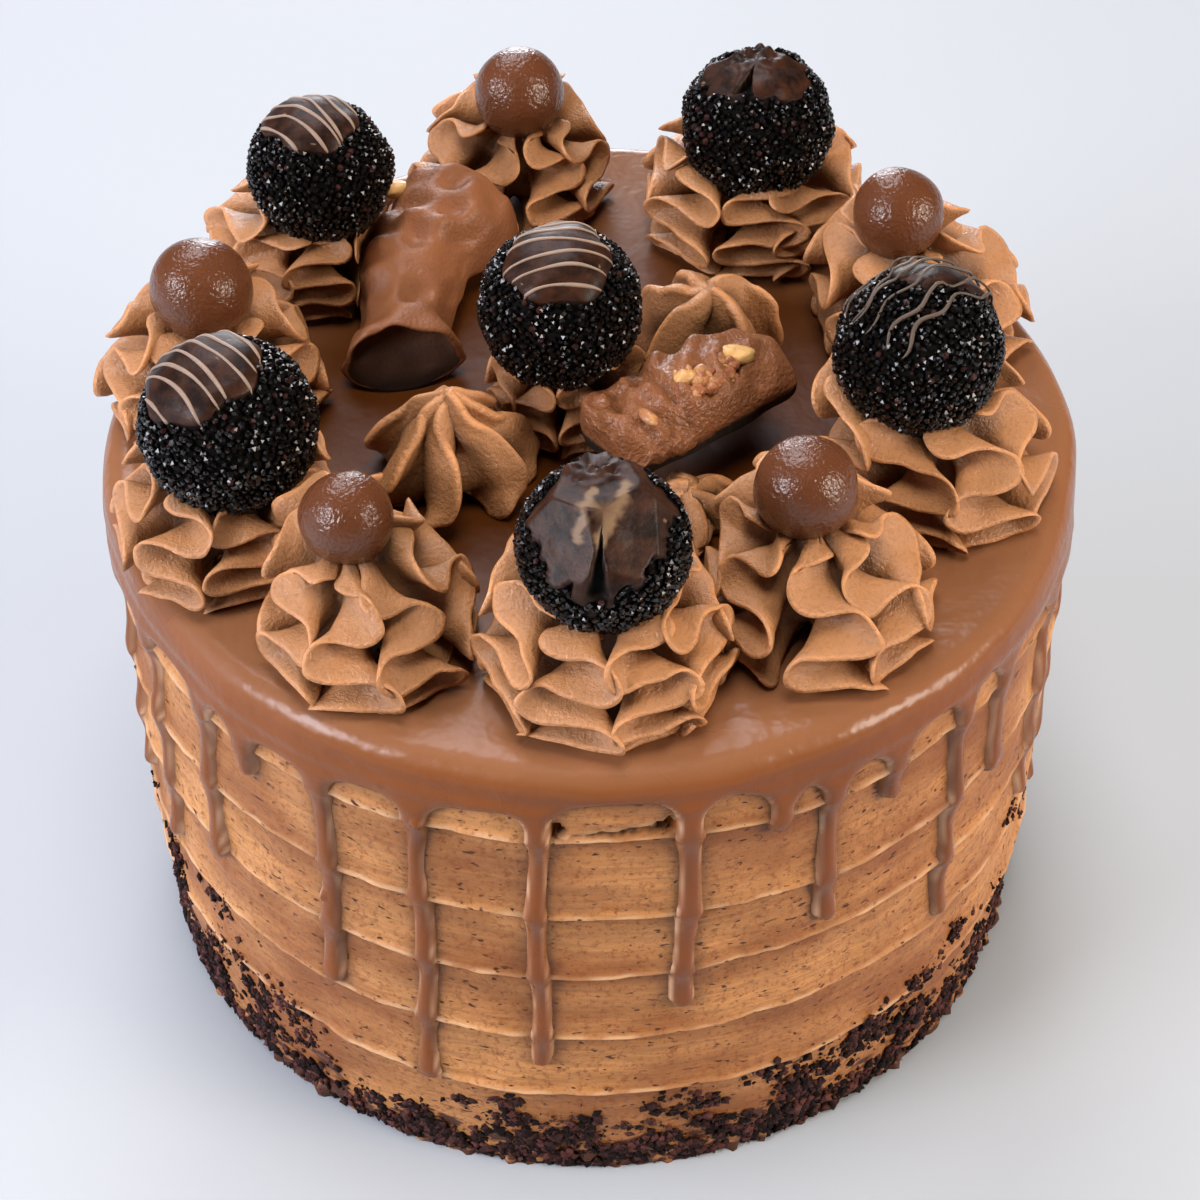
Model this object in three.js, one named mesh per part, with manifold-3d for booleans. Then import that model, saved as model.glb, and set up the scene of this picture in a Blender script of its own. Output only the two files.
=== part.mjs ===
// Chocolate drip cake. An iced round cake stands under poured chocolate that runs down its side in drips.
// A ring of piped rosettes holds truffles and malt balls in turn. In the middle are more rosettes,
// one more truffle and two nut bars. Millimetres, +Z up, origin at the middle of the base, front at -Y.
import * as THREE from 'three';
import { mergeVertices } from 'three/addons/utils/BufferGeometryUtils.js';
import Module from 'manifold-3d';

const wasm = await Module();
wasm.setup();

// Driving sizes of the cake
const TOP_Z = 109; // upper face of the poured chocolate
const GAP = 0.3; // clearance between neighbouring pieces
const POUR_THICKNESS = 2;
const RIM_RADIUS = 88.4; // outside of the poured chocolate
const SIDE_RADIUS = 86.6; // iced side, at its ridges
const BASE_RADIUS = 84.8;
const COLUMNS = 42; // facets round the cake

// Ridges that the scraper left round the side
const RIDGES = [25.4, 41.7, 58.6, 74.4, 93.7];
const RIDGE_DEPTH = 1.3;
const RIDGE_LIP = 1.2; // height of the step under each ridge

// Skirt and drips of the poured chocolate
const SKIRT_Z = 98;
const DRIP_WIDTH = 3.6;
const DRIP_TIP_WIDTH = 4.8;
const DRIP_ROOT_WIDTH = 8;
const DRIP_FLATNESS = 0.6; // how far a drip stands out, as a share of half its width
const DRIP_SIDES = 6;
// Drips at the front: angle in degrees, and the height of the tip
const FRONT_DRIPS = [
  [-152, 43], [-139.3, 56], [-131.9, 86], [-121.1, 42.6], [-109.3, 24.3], [-95.8, 32.7], [-79.2, 48.6],
  [-68.8, 90], [-62.4, 62.5], [-54.2, 85.4], [-43.6, 43.6], [-35.5, 71], [-22, 45],
];
// Drips round the back: even angles, with lengths spread by the golden ratio
const BACK_DRIPS = { from: -9, to: 196, count: 16, lowest: 28, highest: 88 };
const GOLDEN = 0.618034;

// Rosettes
const RING_HEIGHT = 20;
const FINS = 8;
const FIN_COLUMNS = 3;
const FIN_DEPTH = 0.36; // how far the valleys go in, as a share of the radius
const FIN_SWING = 2.6; // how far a fin's edge swings sideways
const FIN_SWINGS = 4; // half waves from foot to top
// Profiles as shares of the radius and of the height
const CUP = [[0, 0], [0.84, 0], [1, 0.16], [0.96, 0.42], [0.86, 0.7], [0.68, 1], [0, 0.9]];
const PEAK = [[0, 0], [0.86, 0], [1, 0.16], [0.86, 0.36], [0.62, 0.56], [0.36, 0.76], [0, 1]];

// Toppings
const TRUFFLE_Z = 27; // middle of a truffle above the poured chocolate
const BALL_Z = 25;
const CAP_HEIGHT = 0.5; // thickness of a truffle's chocolate cap
const CAP_SPREAD = 0.9; // radians from the cap's middle to its edge
const UNEVEN = 0.015; // unevenness of a ball, as a share of its radius
const SOCKET_ROOM = 2; // between a topping and the cream it is pressed into

// The ring, counter-clockwise from the front: the rosette's place and radius, the topping's place and width
const RING = [
  { at: [3, -63], radius: 19, topping: 'truffle', on: [2.1, -61.6], width: 27.7 },
  { at: [39, -50], radius: 18.5, topping: 'malt_ball', on: [34.8, -46], width: 18 },
  { at: [62, -17], radius: 19, topping: 'truffle', on: [55.5, -13.4], width: 28.9 },
  { at: [61.5, 26.5], radius: 19, topping: 'malt_ball', on: [55.6, 28.2], width: 17.5 },
  { at: [31.5, 59], radius: 19.5, topping: 'truffle', on: [31.2, 53.6], width: 28.4 },
  { at: [-15.5, 69], radius: 17.6, topping: 'malt_ball', on: [-13.6, 67], width: 18 },
  { at: [-54, 44.5], radius: 18, topping: 'truffle', on: [-49.4, 38.6], width: 26.5 },
  { at: [-67, 4.5], radius: 18.5, topping: 'malt_ball', on: [-68, 6], width: 19 },
  { at: [-62, -33], radius: 17.2, topping: 'truffle', on: [-59.4, -32.6], width: 29.7 },
  { at: [-36, -56], radius: 17, topping: 'malt_ball', on: [-38.7, -53], width: 16 },
];
// The middle: one rosette under a truffle, two that end in a peak, and a low one under a bar
const MIDDLE = [
  { name: 'rosette_middle', at: [-4, 2], radius: 13, height: 20, topping: 'truffle', on: [-5.2, -1.4], width: 28.4 },
  { name: 'rosette_star', at: [-25, -17], radius: 15, height: 20, profile: PEAK },
  { name: 'rosette_loop', at: [21, 16], radius: 13, height: 18, profile: PEAK },
  { name: 'rosette_low', at: [17, -27], radius: 10, height: 8 },
];
// Nut bars: where the near end stands, its height over the poured chocolate, heading, pitch, roll and size
const BARS = [
  { at: [-33.8, 9.5], rise: GAP, heading: 78, pitch: 3, roll: 0, length: 43.5, width: 19, height: 16 },
  { at: [3, -22], rise: 8.5, heading: 37, pitch: 2, roll: -6, length: 37, width: 18, height: 14 },
];
const BAR_SIDES = 12;
const BAR_STEPS = 8;
const BAR_FLARE = 0.1; // how far a bar's foot spreads, as a share of its width
const BAR_RIPPLE = 0.05; // waves along a bar's back, as a share of its height
const BAR_WAVES = 3;
const BAR_END = 0.72; // size of a bar's end faces beside its middle

const buttercream = new THREE.MeshStandardMaterial({ color: 0xaa734b, roughness: 0.6 });
const ganache = new THREE.MeshStandardMaterial({ color: 0x7d5237, roughness: 0.25 });
const truffleCoat = new THREE.MeshStandardMaterial({ color: 0x1c1411, roughness: 0.35 });
const maltChocolate = new THREE.MeshStandardMaterial({ color: 0x693e2a, roughness: 0.3 });
const barChocolate = new THREE.MeshStandardMaterial({ color: 0x966441, roughness: 0.4 });

const radians = THREE.MathUtils.degToRad;

/** A closed shape turned about +Z, from a profile of [radius, height] that starts and ends on the axis. */
function turned(profile, columns = COLUMNS) {
  const points = profile.map(([radius, height]) => new THREE.Vector2(radius, height));
  return new THREE.LatheGeometry(points, columns).rotateX(Math.PI / 2);
}

/** Moves each vertex to the place that the given function works out from its own. */
function reshaped(geometry, move) {
  const position = geometry.attributes.position;
  const point = new THREE.Vector3();
  for (let i = 0; i < position.count; i += 1) {
    point.fromBufferAttribute(position, i);
    move(point);
    position.setXYZ(i, point.x, point.y, point.z);
  }
  return geometry;
}

/** A closed geometry as a solid that can be cut and joined. */
function solidOf(geometry) {
  const bare = geometry.clone();
  bare.deleteAttribute('normal');
  bare.deleteAttribute('uv');
  const merged = mergeVertices(bare, 1e-3);
  const corners = merged.index.array;
  const triangles = [];
  for (let i = 0; i < corners.length; i += 3) {
    const corner = [corners[i], corners[i + 1], corners[i + 2]];
    if (new Set(corner).size === 3) triangles.push(...corner);
  }
  return new wasm.Manifold(new wasm.Mesh({
    numProp: 3,
    vertProperties: new Float32Array(merged.attributes.position.array),
    triVerts: new Uint32Array(triangles),
  }));
}

/** A cut or joined solid as a geometry. */
function geometryOf(solid) {
  const mesh = solid.getMesh();
  const geometry = new THREE.BufferGeometry();
  geometry.setAttribute('position', new THREE.BufferAttribute(new Float32Array(mesh.vertProperties), 3));
  geometry.setIndex([...mesh.triVerts]);
  geometry.computeVertexNormals();
  return geometry;
}

function named(name, geometry, material) {
  const mesh = new THREE.Mesh(geometry, material);
  mesh.name = name;
  return mesh;
}

/** The iced cake. Each band of its side hollows in above one ridge and comes out to a lip at the next. */
function cakeBody() {
  const top = TOP_Z - POUR_THICKNESS - GAP;
  const sideAt = (z) => THREE.MathUtils.lerp(BASE_RADIUS, SIDE_RADIUS, Math.min(z / RIDGES[0], 1));
  const profile = [[0, 0], [BASE_RADIUS, 0]];
  RIDGES.forEach((ridge) => {
    profile.push([sideAt(ridge) - RIDGE_DEPTH, ridge - RIDGE_LIP]);
    profile.push([sideAt(ridge), ridge]);
  });
  profile.push([SIDE_RADIUS - RIDGE_DEPTH, top], [0, top]);
  return turned(profile);
}

/** One drip, from a wide root in the skirt to a swollen tip, flattened against the side. */
function drip(angle, tip) {
  const root = SKIRT_Z + 3;
  const profile = [
    [0, tip],
    [DRIP_TIP_WIDTH / 2, tip + DRIP_TIP_WIDTH * 0.4],
    [DRIP_WIDTH / 2, Math.max(root - DRIP_ROOT_WIDTH, tip + DRIP_TIP_WIDTH)],
    [DRIP_ROOT_WIDTH / 2, root],
    [0, root + 1],
  ];
  const side = SIDE_RADIUS + GAP;
  return turned(profile, DRIP_SIDES)
    .rotateZ(Math.PI / DRIP_SIDES)
    .scale(DRIP_FLATNESS, 1, 1)
    .translate(side, 0, 0)
    .rotateZ(radians(angle));
}

/** Angles and tip heights of all the drips. */
function allDrips() {
  const { from, to, count, lowest, highest } = BACK_DRIPS;
  const back = Array.from({ length: count }, (_, i) => [
    from + ((to - from) * i) / (count - 1),
    lowest + (highest - lowest) * ((i * GOLDEN) % 1),
  ]);
  return [...FRONT_DRIPS, ...back];
}

/** Poured chocolate: a plug with a rounded rim, joined to its drips, then hollowed to fit over the cake. */
function pouredChocolate() {
  const cap = turned([
    [0, SKIRT_Z],
    [RIM_RADIUS - 0.9, SKIRT_Z],
    [RIM_RADIUS - 0.2, SKIRT_Z + 1.6],
    [RIM_RADIUS, TOP_Z - 4.5],
    [RIM_RADIUS - 1.3, TOP_Z - 1.5],
    [RIM_RADIUS - 4.4, TOP_Z],
    [0, TOP_Z],
  ]);
  const inside = SIDE_RADIUS + GAP;
  const room = turned([[0, -1], [inside, -1], [inside, TOP_Z - POUR_THICKNESS], [0, TOP_Z - POUR_THICKNESS]]);
  const drips = allDrips().map(([angle, tip]) => solidOf(drip(angle, tip)));
  const whole = drips.reduce((sum, one) => sum.add(one), solidOf(cap));
  return geometryOf(whole.subtract(solidOf(room)));
}

/**
 * A piped rosette: a turned mound pushed out into fins, whose edges swing from side to side on the way down.
 * It leans towards its topping, and where the topping is pressed in, the mound stays under a ball around it.
 */
function rosette({ radius, height, profile, press }) {
  const mound = turned(profile.map(([r, z]) => [r * radius, z * height]), FINS * FIN_COLUMNS);
  return reshaped(mound, (point) => {
    const reach = Math.hypot(point.x, point.y);
    const angle = Math.atan2(point.y, point.x);
    const fin = (1 + Math.cos(FINS * angle)) / 2;
    const share = point.z / height;
    const swing = FIN_SWING * Math.sin(Math.PI * FIN_SWINGS * share + Math.sin(2 * angle)) * fin;
    const out = reach * (1 - FIN_DEPTH * (1 - fin));
    const turn = angle + (swing / radius) * Math.min(1, reach / (radius / 2));
    point.set(out * Math.cos(turn), out * Math.sin(turn), point.z);
    if (!press) return;
    point.x += press.place.x * share ** 2;
    point.y += press.place.y * share ** 2;
    const aside = Math.hypot(point.x - press.place.x, point.y - press.place.y);
    const under = press.place.z - Math.sqrt(Math.max(press.radius ** 2 - aside ** 2, 0));
    point.z = Math.min(point.z, under);
  });
}

/** A ball, a little uneven. Within the cap's spread of +Z it stands proud by the cap's height. */
function ball(radius, rings, segments, capHeight = 0) {
  return reshaped(new THREE.SphereGeometry(radius, segments, rings).rotateX(Math.PI / 2), (point) => {
    const direction = point.clone().normalize();
    const wave = UNEVEN * Math.sin(3 * direction.x) * Math.sin(4 * direction.y + direction.z);
    const capped = Math.acos(THREE.MathUtils.clamp(direction.z, -1, 1)) < CAP_SPREAD ? capHeight : 0;
    point.copy(direction.multiplyScalar(radius * (1 + wave) + capped));
  });
}

const truffle = (width) => ball(width / 2, 7, 12, CAP_HEIGHT);
const maltBall = (width) => ball(width / 2, 7, 10);

/** A nut bar along +X: a half round section with a flared foot, waves along its back and smaller ends. */
function nutBar({ length, width, height }) {
  const rod = new THREE.CylinderGeometry(1, 1, 1, BAR_SIDES, BAR_STEPS).rotateZ(-Math.PI / 2);
  return reshaped(rod, (point) => {
    const along = point.x + 0.5;
    const reach = Math.hypot(point.y, point.z);
    const end = Math.abs(2 * along - 1) ** 4;
    const size = 1 - (1 - BAR_END) * end;
    const ripple = 1 + BAR_RIPPLE * Math.sin(2 * Math.PI * BAR_WAVES * along);
    const flare = point.z < 0.2 ? 1 + BAR_FLARE * end : 1 - BAR_FLARE * end;
    const middle = (1 - reach) * 0.4;
    point.set(
      along * length,
      (point.y * flare * width) / 2,
      height * size * ripple * (Math.max(point.z, 0) + middle),
    );
  });
}

/** A rosette with its topping, if it has one, in a group that stands on the poured chocolate. */
function station({ name, at, radius, height = RING_HEIGHT, profile = CUP, topping, on, width }, number) {
  const group = new THREE.Group();
  group.position.set(at[0], at[1], TOP_Z + GAP);
  let press = null;
  if (topping) {
    const isTruffle = topping === 'truffle';
    const place = new THREE.Vector3(on[0] - at[0], on[1] - at[1], isTruffle ? TRUFFLE_Z : BALL_Z);
    const geometry = isTruffle ? truffle(width) : maltBall(width);
    const mesh = named(`${topping}_${number}`, geometry, isTruffle ? truffleCoat : maltChocolate);
    mesh.position.copy(place);
    group.add(mesh);
    press = { place, radius: width / 2 + SOCKET_ROOM };
  }
  group.add(named(name, rosette({ radius, height, profile, press }), buttercream));
  return group;
}

const cake = new THREE.Group();
cake.add(named('cake_body', cakeBody(), buttercream));
cake.add(named('poured_chocolate', pouredChocolate(), ganache));

const counts = { truffle: 0, malt_ball: 0 };
[...RING, ...MIDDLE].forEach((spec, i) => {
  const name = spec.name ?? `rosette_${i + 1}`;
  if (spec.topping) counts[spec.topping] += 1;
  cake.add(station({ ...spec, name }, counts[spec.topping]));
});

BARS.forEach((spec, i) => {
  const mesh = named(`nut_bar_${i + 1}`, nutBar(spec), barChocolate);
  mesh.position.set(spec.at[0], spec.at[1], TOP_Z + spec.rise);
  mesh.rotation.set(radians(spec.roll), radians(-spec.pitch), radians(spec.heading), 'ZYX');
  cake.add(mesh);
});

export default cake;
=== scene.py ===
"""Chocolate drip cake: the finished surfaces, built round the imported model.

Laid out as an add-on. Property groups hold the sizes and colours, one operator makes each kind of piece,
and a panel lists them. Shapes are worked out in millimetres as numpy arrays, and go into their meshes in
metres. Angles run counter-clockwise from +X, and the front of the cake is at -90 degrees.
"""
import math
from itertools import combinations, product

import bpy
import numpy as np
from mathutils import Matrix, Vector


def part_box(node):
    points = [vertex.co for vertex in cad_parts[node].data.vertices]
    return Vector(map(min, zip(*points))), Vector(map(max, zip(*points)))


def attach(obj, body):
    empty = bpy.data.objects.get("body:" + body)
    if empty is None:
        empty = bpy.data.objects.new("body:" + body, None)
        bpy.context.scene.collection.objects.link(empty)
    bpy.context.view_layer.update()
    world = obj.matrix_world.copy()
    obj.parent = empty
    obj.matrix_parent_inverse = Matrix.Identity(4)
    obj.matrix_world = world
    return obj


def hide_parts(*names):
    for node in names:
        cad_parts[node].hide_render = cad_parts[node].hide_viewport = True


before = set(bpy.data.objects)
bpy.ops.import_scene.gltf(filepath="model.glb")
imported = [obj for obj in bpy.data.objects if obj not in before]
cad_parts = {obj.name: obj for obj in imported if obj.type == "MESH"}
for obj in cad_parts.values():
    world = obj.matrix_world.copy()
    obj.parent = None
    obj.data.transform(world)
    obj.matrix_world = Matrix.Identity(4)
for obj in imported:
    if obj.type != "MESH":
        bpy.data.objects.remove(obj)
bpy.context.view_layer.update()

bl_info = {
    "name": "Chocolate drip cake",
    "version": (1, 0, 0),
    "blender": (4, 5, 0),
    "location": "View3D > Sidebar > Cake",
    "description": "Iced cake with poured chocolate, piped rosettes, truffles, malt balls and nut bars",
    "category": "Add Mesh",
}

MM = 0.001
TAU = 2 * math.pi


def box_mm(node):
    """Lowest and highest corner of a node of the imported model, in millimetres."""
    low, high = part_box(node)
    return np.array(low) / MM, np.array(high) / MM


def linear(hex_colour):
    """Linear red, green and blue of an sRGB hex colour."""
    parts = [int(hex_colour[i:i + 2], 16) / 255 for i in (0, 2, 4)]
    return tuple(p / 12.92 if p <= 0.04045 else ((p + 0.055) / 1.055) ** 2.4 for p in parts)


def size(name, description, millimetres):
    """A length property, with its default given in millimetres."""
    return bpy.props.FloatProperty(
        name=name, description=description, default=millimetres * MM, min=0, precision=4, unit="LENGTH"
    )


def colour(name, description, hex_colour):
    """A colour property, with its default given as an sRGB hex value."""
    return bpy.props.FloatVectorProperty(
        name=name, description=description, default=linear(hex_colour), min=0, max=1, subtype="COLOR"
    )


def count(name, description, number):
    """A whole number property."""
    return bpy.props.IntProperty(name=name, description=description, default=number, min=1)


# Sizes of the cake, in millimetres
TOP_Z = box_mm("poured_chocolate")[1][2]
BODY_TOP = box_mm("cake_body")[1][2]
SIDE_RADIUS = 86.6
BASE_RADIUS = 84.8
RIDGES = (25.4, 41.7, 58.6, 74.4, 93.7)

# Drips at the front: angle in degrees, and the height of the tip
FRONT_DRIPS = [
    (-152, 43), (-139.3, 56), (-131.9, 86), (-121.1, 42.6), (-109.3, 24.3), (-95.8, 32.7), (-79.2, 48.6),
    (-68.8, 90), (-62.4, 62.5), (-54.2, 85.4), (-43.6, 43.6), (-35.5, 71), (-22, 45),
]
# Drips round the back: even angles, with lengths spread by the golden ratio
BACK_DRIPS = {"first": -9, "last": 196, "count": 16, "lowest": 28, "highest": 88}
GOLDEN = 0.618034
# Lower edge of the skirt between the front drips: angle in degrees, and height
FRONT_SKIRT = [
    (-160, 98), (-145, 98), (-130, 97), (-115, 98), (-102.6, 99), (-87.4, 103), (-75, 102), (-67, 99),
    (-58.6, 99), (-45.6, 101), (-28, 99.5), (-15, 98),
]

# What each rosette carries: truffles and malt balls in turn round the ring
TOPPINGS = {f"rosette_{i}": f"{'truffle' if i % 2 else 'malt_ball'}_{(i + 1) // 2}" for i in range(1, 11)}
TOPPINGS["rosette_middle"] = "truffle_6"


class CakeBodySettings(bpy.types.PropertyGroup):
    """The iced body."""

    ridge_depth: size("Ridge depth", "How far a band leans in under the next ridge", 2.2)
    lip: size("Lip", "How far the smeared lip of a ridge stands out", 0.5)
    buttercream: colour("Buttercream", "Scraped chocolate buttercream", "C4864D")
    # Besides tone, flecks and pits, this colour gives the painted shade under the ridges, in the tears and
    # beside the drips
    dark: colour("Dark", "Buttercream pressed hard by the scraper", "7A3C10")
    smear: colour("Smear", "Thin buttercream along the ridges", "D2A478")
    # Pale colour of the painted highlight on the ridges' lips and the tear's rim
    stain: colour("Stain", "Buttercream dragged through dark crumbs", "4A2716")


class CakePourSettings(bpy.types.PropertyGroup):
    """The poured chocolate and its drips."""

    thickness: size("Thickness", "How far the chocolate stands out from the side", 1.5)
    drip_width: size("Drip width", "Width of a drip halfway down", 3.7)
    rim_rounding: size("Rim rounding", "Radius of the rounded rim", 4.6)
    funnel: size("Funnel", "How softly a drip flows out of the skirt", 6.5)
    ganache: colour("Ganache", "Poured milk chocolate", "7A4015")
    # The milky colour of the flat top is a painted sheen
    bloom_and_sheen: colour("Bloom", "Milky cast of the flat top", "805336")
    # Pale colour of the painted highlight along the edges of the outline
    edge_highlight: colour("Film", "Thin edge where the cream shines through", "C69B78")


class CakeRosetteSettings(bpy.types.PropertyGroup):
    """The piped rosettes."""

    swing: size("Swing", "How far a fin's edge swings to each side", 8.4)
    edge: size("Edge", "Thickness of a fin near its edge", 1.2)
    height: size("Height", "Height of a rosette of the ring", 21)
    buttercream: colour("Buttercream", "Piped chocolate buttercream", "B0794E")


class CakeTruffleSettings(bpy.types.PropertyGroup):
    """The truffles with their beads, caps and drizzle."""

    bead: size("Bead", "Width of a chocolate bead", 1.3)
    spacing: size("Spacing", "Distance between beads", 1.24)
    cap: size("Cap", "Thickness of the chocolate cap", 0.7)
    stripe: size("Stripe", "Width of a line of drizzle", 0.68)
    stripe_gap: size("Stripe gap", "Distance between lines of drizzle", 2.7)
    coat: colour("Coat", "Dark chocolate of the cap", "2E180D")
    beads: colour("Beads", "Black chocolate beads", "080504")
    drizzle: colour("Drizzle", "Pale milk chocolate", "8A7260")
    smear: colour("Smear", "Tan smears on the broken cap", "7A5F45")


class CakeBallSettings(bpy.types.PropertyGroup):
    """The malt balls."""

    uneven: size("Uneven", "How far a ball is out of round", 0.22)
    chocolate: colour("Chocolate", "Polished milk chocolate", "58311C")


class CakeBarSettings(bpy.types.PropertyGroup):
    """The nut bars."""

    lumps: size("Lumps", "Height of the lumps over the nuts", 0.65)
    chocolate: colour("Chocolate", "Enrobing milk chocolate", "804F31")
    nuts: colour("Nuts", "Split roasted peanuts", "D2A264")
    skin: colour("Skin", "Reddish skin and toffee on the nuts", "8C5134")


class CakeCrumbSettings(bpy.types.PropertyGroup):
    """The crumbs round the foot."""

    clumps: count("Clumps", "Clumps of crumbs round the foot", 300)
    largest: size("Largest", "Width of the largest crumbs", 3.2)
    crumb: colour("Crumb", "Dark chocolate cake crumb", "271310")


class CakeStageSettings(bpy.types.PropertyGroup):
    """Floor, lights and camera."""

    floor: colour("Floor", "Plain pale floor", "A6A8AA")
    lens: bpy.props.FloatProperty(name="Lens", description="Focal length", default=81.42, unit="CAMERA")


# Shapes as arrays


def wobble(points, wavelength, seed, waves=14):
    """Smooth noise of about unit size: a sum of plane waves of that wavelength, in seeded directions."""
    rng = np.random.default_rng(seed)
    waves_along = rng.normal(size=(waves, 3))
    lengths = np.linalg.norm(waves_along, axis=1)[:, None]
    waves_along *= TAU / wavelength * rng.uniform(0.6, 1.5, (waves, 1)) / lengths
    return np.sin(points @ waves_along.T + rng.uniform(0, TAU, waves)).sum(-1) / math.sqrt(waves / 2)


def ease(x):
    """0 below 0, 1 above 1, and a smooth step between."""
    x = np.clip(x, 0, 1)
    return x * x * (3 - 2 * x)


def unit(vectors):
    """The same directions, each of length 1."""
    vectors = np.asarray(vectors, float)
    return vectors / np.maximum(np.linalg.norm(vectors, axis=-1, keepdims=True), 1e-9)


def around(theta, radius, z):
    """Points at an angle, radius and height."""
    theta, radius, z = np.broadcast_arrays(theta, radius, z)
    return np.stack([radius * np.cos(theta), radius * np.sin(theta), z], -1)


def turn_from(angle, theta):
    """Angle from one direction to another, from minus to plus half a turn."""
    return (theta - angle + math.pi) % TAU - math.pi


def lean_from(axis, directions):
    """Angle between each direction and an axis."""
    return np.arccos(np.clip(directions @ axis, -1, 1))


def smooth_path(corners, number):
    """A curve that cuts the corners of a line four times over, as points at even distances along it."""
    path = np.array(corners, float)
    for _ in range(4):
        near, far = path[:-1], path[1:]
        cut = np.stack([0.75 * near + 0.25 * far, 0.25 * near + 0.75 * far], 1).reshape(-1, path.shape[1])
        path = np.concatenate([path[:1], cut, path[-1:]])
    along = np.concatenate([[0], np.cumsum(np.linalg.norm(np.diff(path, axis=0), axis=1))])
    at = np.linspace(0, along[-1], number)
    return np.stack([np.interp(at, along, column) for column in path.T], -1)


def grid_cells(rows, columns):
    """Four sided faces of a grid that wraps round its columns. They face out if rows go up."""
    i, j = np.meshgrid(np.arange(rows - 1), np.arange(columns), indexing="ij")
    low, high, after = i * columns, (i + 1) * columns, (j + 1) % columns
    return np.stack([low + j, low + after, high + after, high + j], -1).reshape(-1, 4)


def closed_grid(points, *values):
    """Points, faces and values of a grid that wraps round its columns. A fan to its middle closes each end.

    Rows go up and columns counter-clockwise, so that the faces point out.
    """
    rows, columns = points.shape[:2]
    ring = np.arange(columns)
    turned = np.roll(ring, -1)
    foot = np.full(columns, rows * columns)
    last = (rows - 1) * columns
    fans = np.concatenate([
        np.stack([turned, ring, foot], -1),
        np.stack([ring + last, turned + last, foot + 1], -1),
    ])
    ended = [
        np.concatenate([v.reshape(rows * columns, -1)] + [v[k].mean(0).reshape(1, -1) for k in (0, -1)])
        for v in (points, *values)
    ]
    return (ended[0], [grid_cells(rows, columns), fans], *[v[:, 0] for v in ended[1:]])


def joined(copies, faces):
    """One mesh of many copies of a shape: points as (copies, points, 3), and the faces of one copy."""
    offsets = np.arange(len(copies))[:, None, None] * copies.shape[1]
    return copies.reshape(-1, 3), [(faces + offsets).reshape(-1, faces.shape[1])]


def merged(meshes):
    """One mesh of several, each given as points and a list of face arrays."""
    starts = np.cumsum([0] + [len(points) for points, _ in meshes])
    faces = [f + start for (_, several), start in zip(meshes, starts) for f in several]
    return np.concatenate([points for points, _ in meshes]), faces


def icosahedron():
    """The 12 points of an icosahedron on the unit sphere, and its 20 faces: triples of nearest neighbours."""
    golden = (1 + math.sqrt(5)) / 2
    corner = np.array([(0, a, b * golden) for a in (-1, 1) for b in (-1, 1)])
    points = unit(np.concatenate([np.roll(corner, k, axis=1) for k in range(3)]))
    triples = np.array(list(combinations(range(12), 3)))
    a, b, c = points[triples].transpose(1, 0, 2)
    edges = np.stack([np.linalg.norm(p - q, axis=1) for p, q in ((a, b), (b, c), (c, a))])
    near = (edges < edges.min() * 1.01).all(0)
    inward = np.einsum("ij,ij->i", np.cross(b - a, c - a), a) < 0
    faces = np.where(inward[:, None], triples[:, ::-1], triples)
    return points, faces[near]


def octahedron():
    """The 6 points of an octahedron on the unit sphere and its 8 faces, one for each choice of signs."""
    points = np.concatenate([np.eye(3), -np.eye(3)])
    signs = np.array(list(product((0, 3), repeat=3)))
    faces = signs + np.arange(3)
    mirrored = np.count_nonzero(signs, axis=1) % 2 == 1
    return points, np.where(mirrored[:, None], faces[:, ::-1], faces)


def random_turns(rng, number):
    """Turns spread evenly over all directions, as matrices made from random quaternions."""
    w, x, y, z = unit(rng.normal(size=(number, 4))).T
    return np.stack([
        np.stack([1 - 2 * (y * y + z * z), 2 * (x * y - z * w), 2 * (x * z + y * w)], -1),
        np.stack([2 * (x * y + z * w), 1 - 2 * (x * x + z * z), 2 * (y * z - x * w)], -1),
        np.stack([2 * (x * z - y * w), 2 * (y * z + x * w), 1 - 2 * (x * x + y * y)], -1),
    ], -2)


def make_piece(name, points, faces, material, values=None, smooth=True):
    """A mesh object at the origin from points in millimetres, face arrays, and named values at the points."""
    mesh = bpy.data.meshes.new(name)
    corners = np.concatenate([f.ravel() for f in faces])
    sides = np.concatenate([np.full(len(f), f.shape[1]) for f in faces])
    mesh.vertices.add(len(points))
    mesh.loops.add(len(corners))
    mesh.polygons.add(len(sides))
    mesh.vertices.foreach_set("co", (points * MM).astype(np.float32).ravel())
    mesh.loops.foreach_set("vertex_index", corners.astype(np.int32))
    mesh.polygons.foreach_set("loop_start", (np.cumsum(sides) - sides).astype(np.int32))
    mesh.update(calc_edges=True)
    mesh.polygons.foreach_set("use_smooth", np.full(len(sides), smooth))
    for key, value in (values or {}).items():
        mesh.attributes.new(key, "FLOAT", "POINT").data.foreach_set("value", value.astype(np.float32))
    if mesh.validate():
        raise ValueError(f"{name} has broken faces")
    mesh.materials.append(material)
    piece = bpy.data.objects.new(name, mesh)
    bpy.context.scene.collection.objects.link(piece)
    return piece


def settle(piece, slot, *nodes):
    """Ties a piece to the body and hides the nodes that it stands for. Its slot is not used."""
    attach(piece, "root")
    if nodes:
        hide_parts(*nodes)


# Materials

RGBA = {"data_type": "RGBA"}
# Light goes a little way into buttercream: a share of it, its reach in red, green and blue, and a scale
SOFT = {"Subsurface_Weight": 0.05, "Subsurface_Radius": (0.003, 0.0015, 0.0008), "Subsurface_Scale": 0.3}
REDDISH_BEAD = "381F1B"


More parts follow.
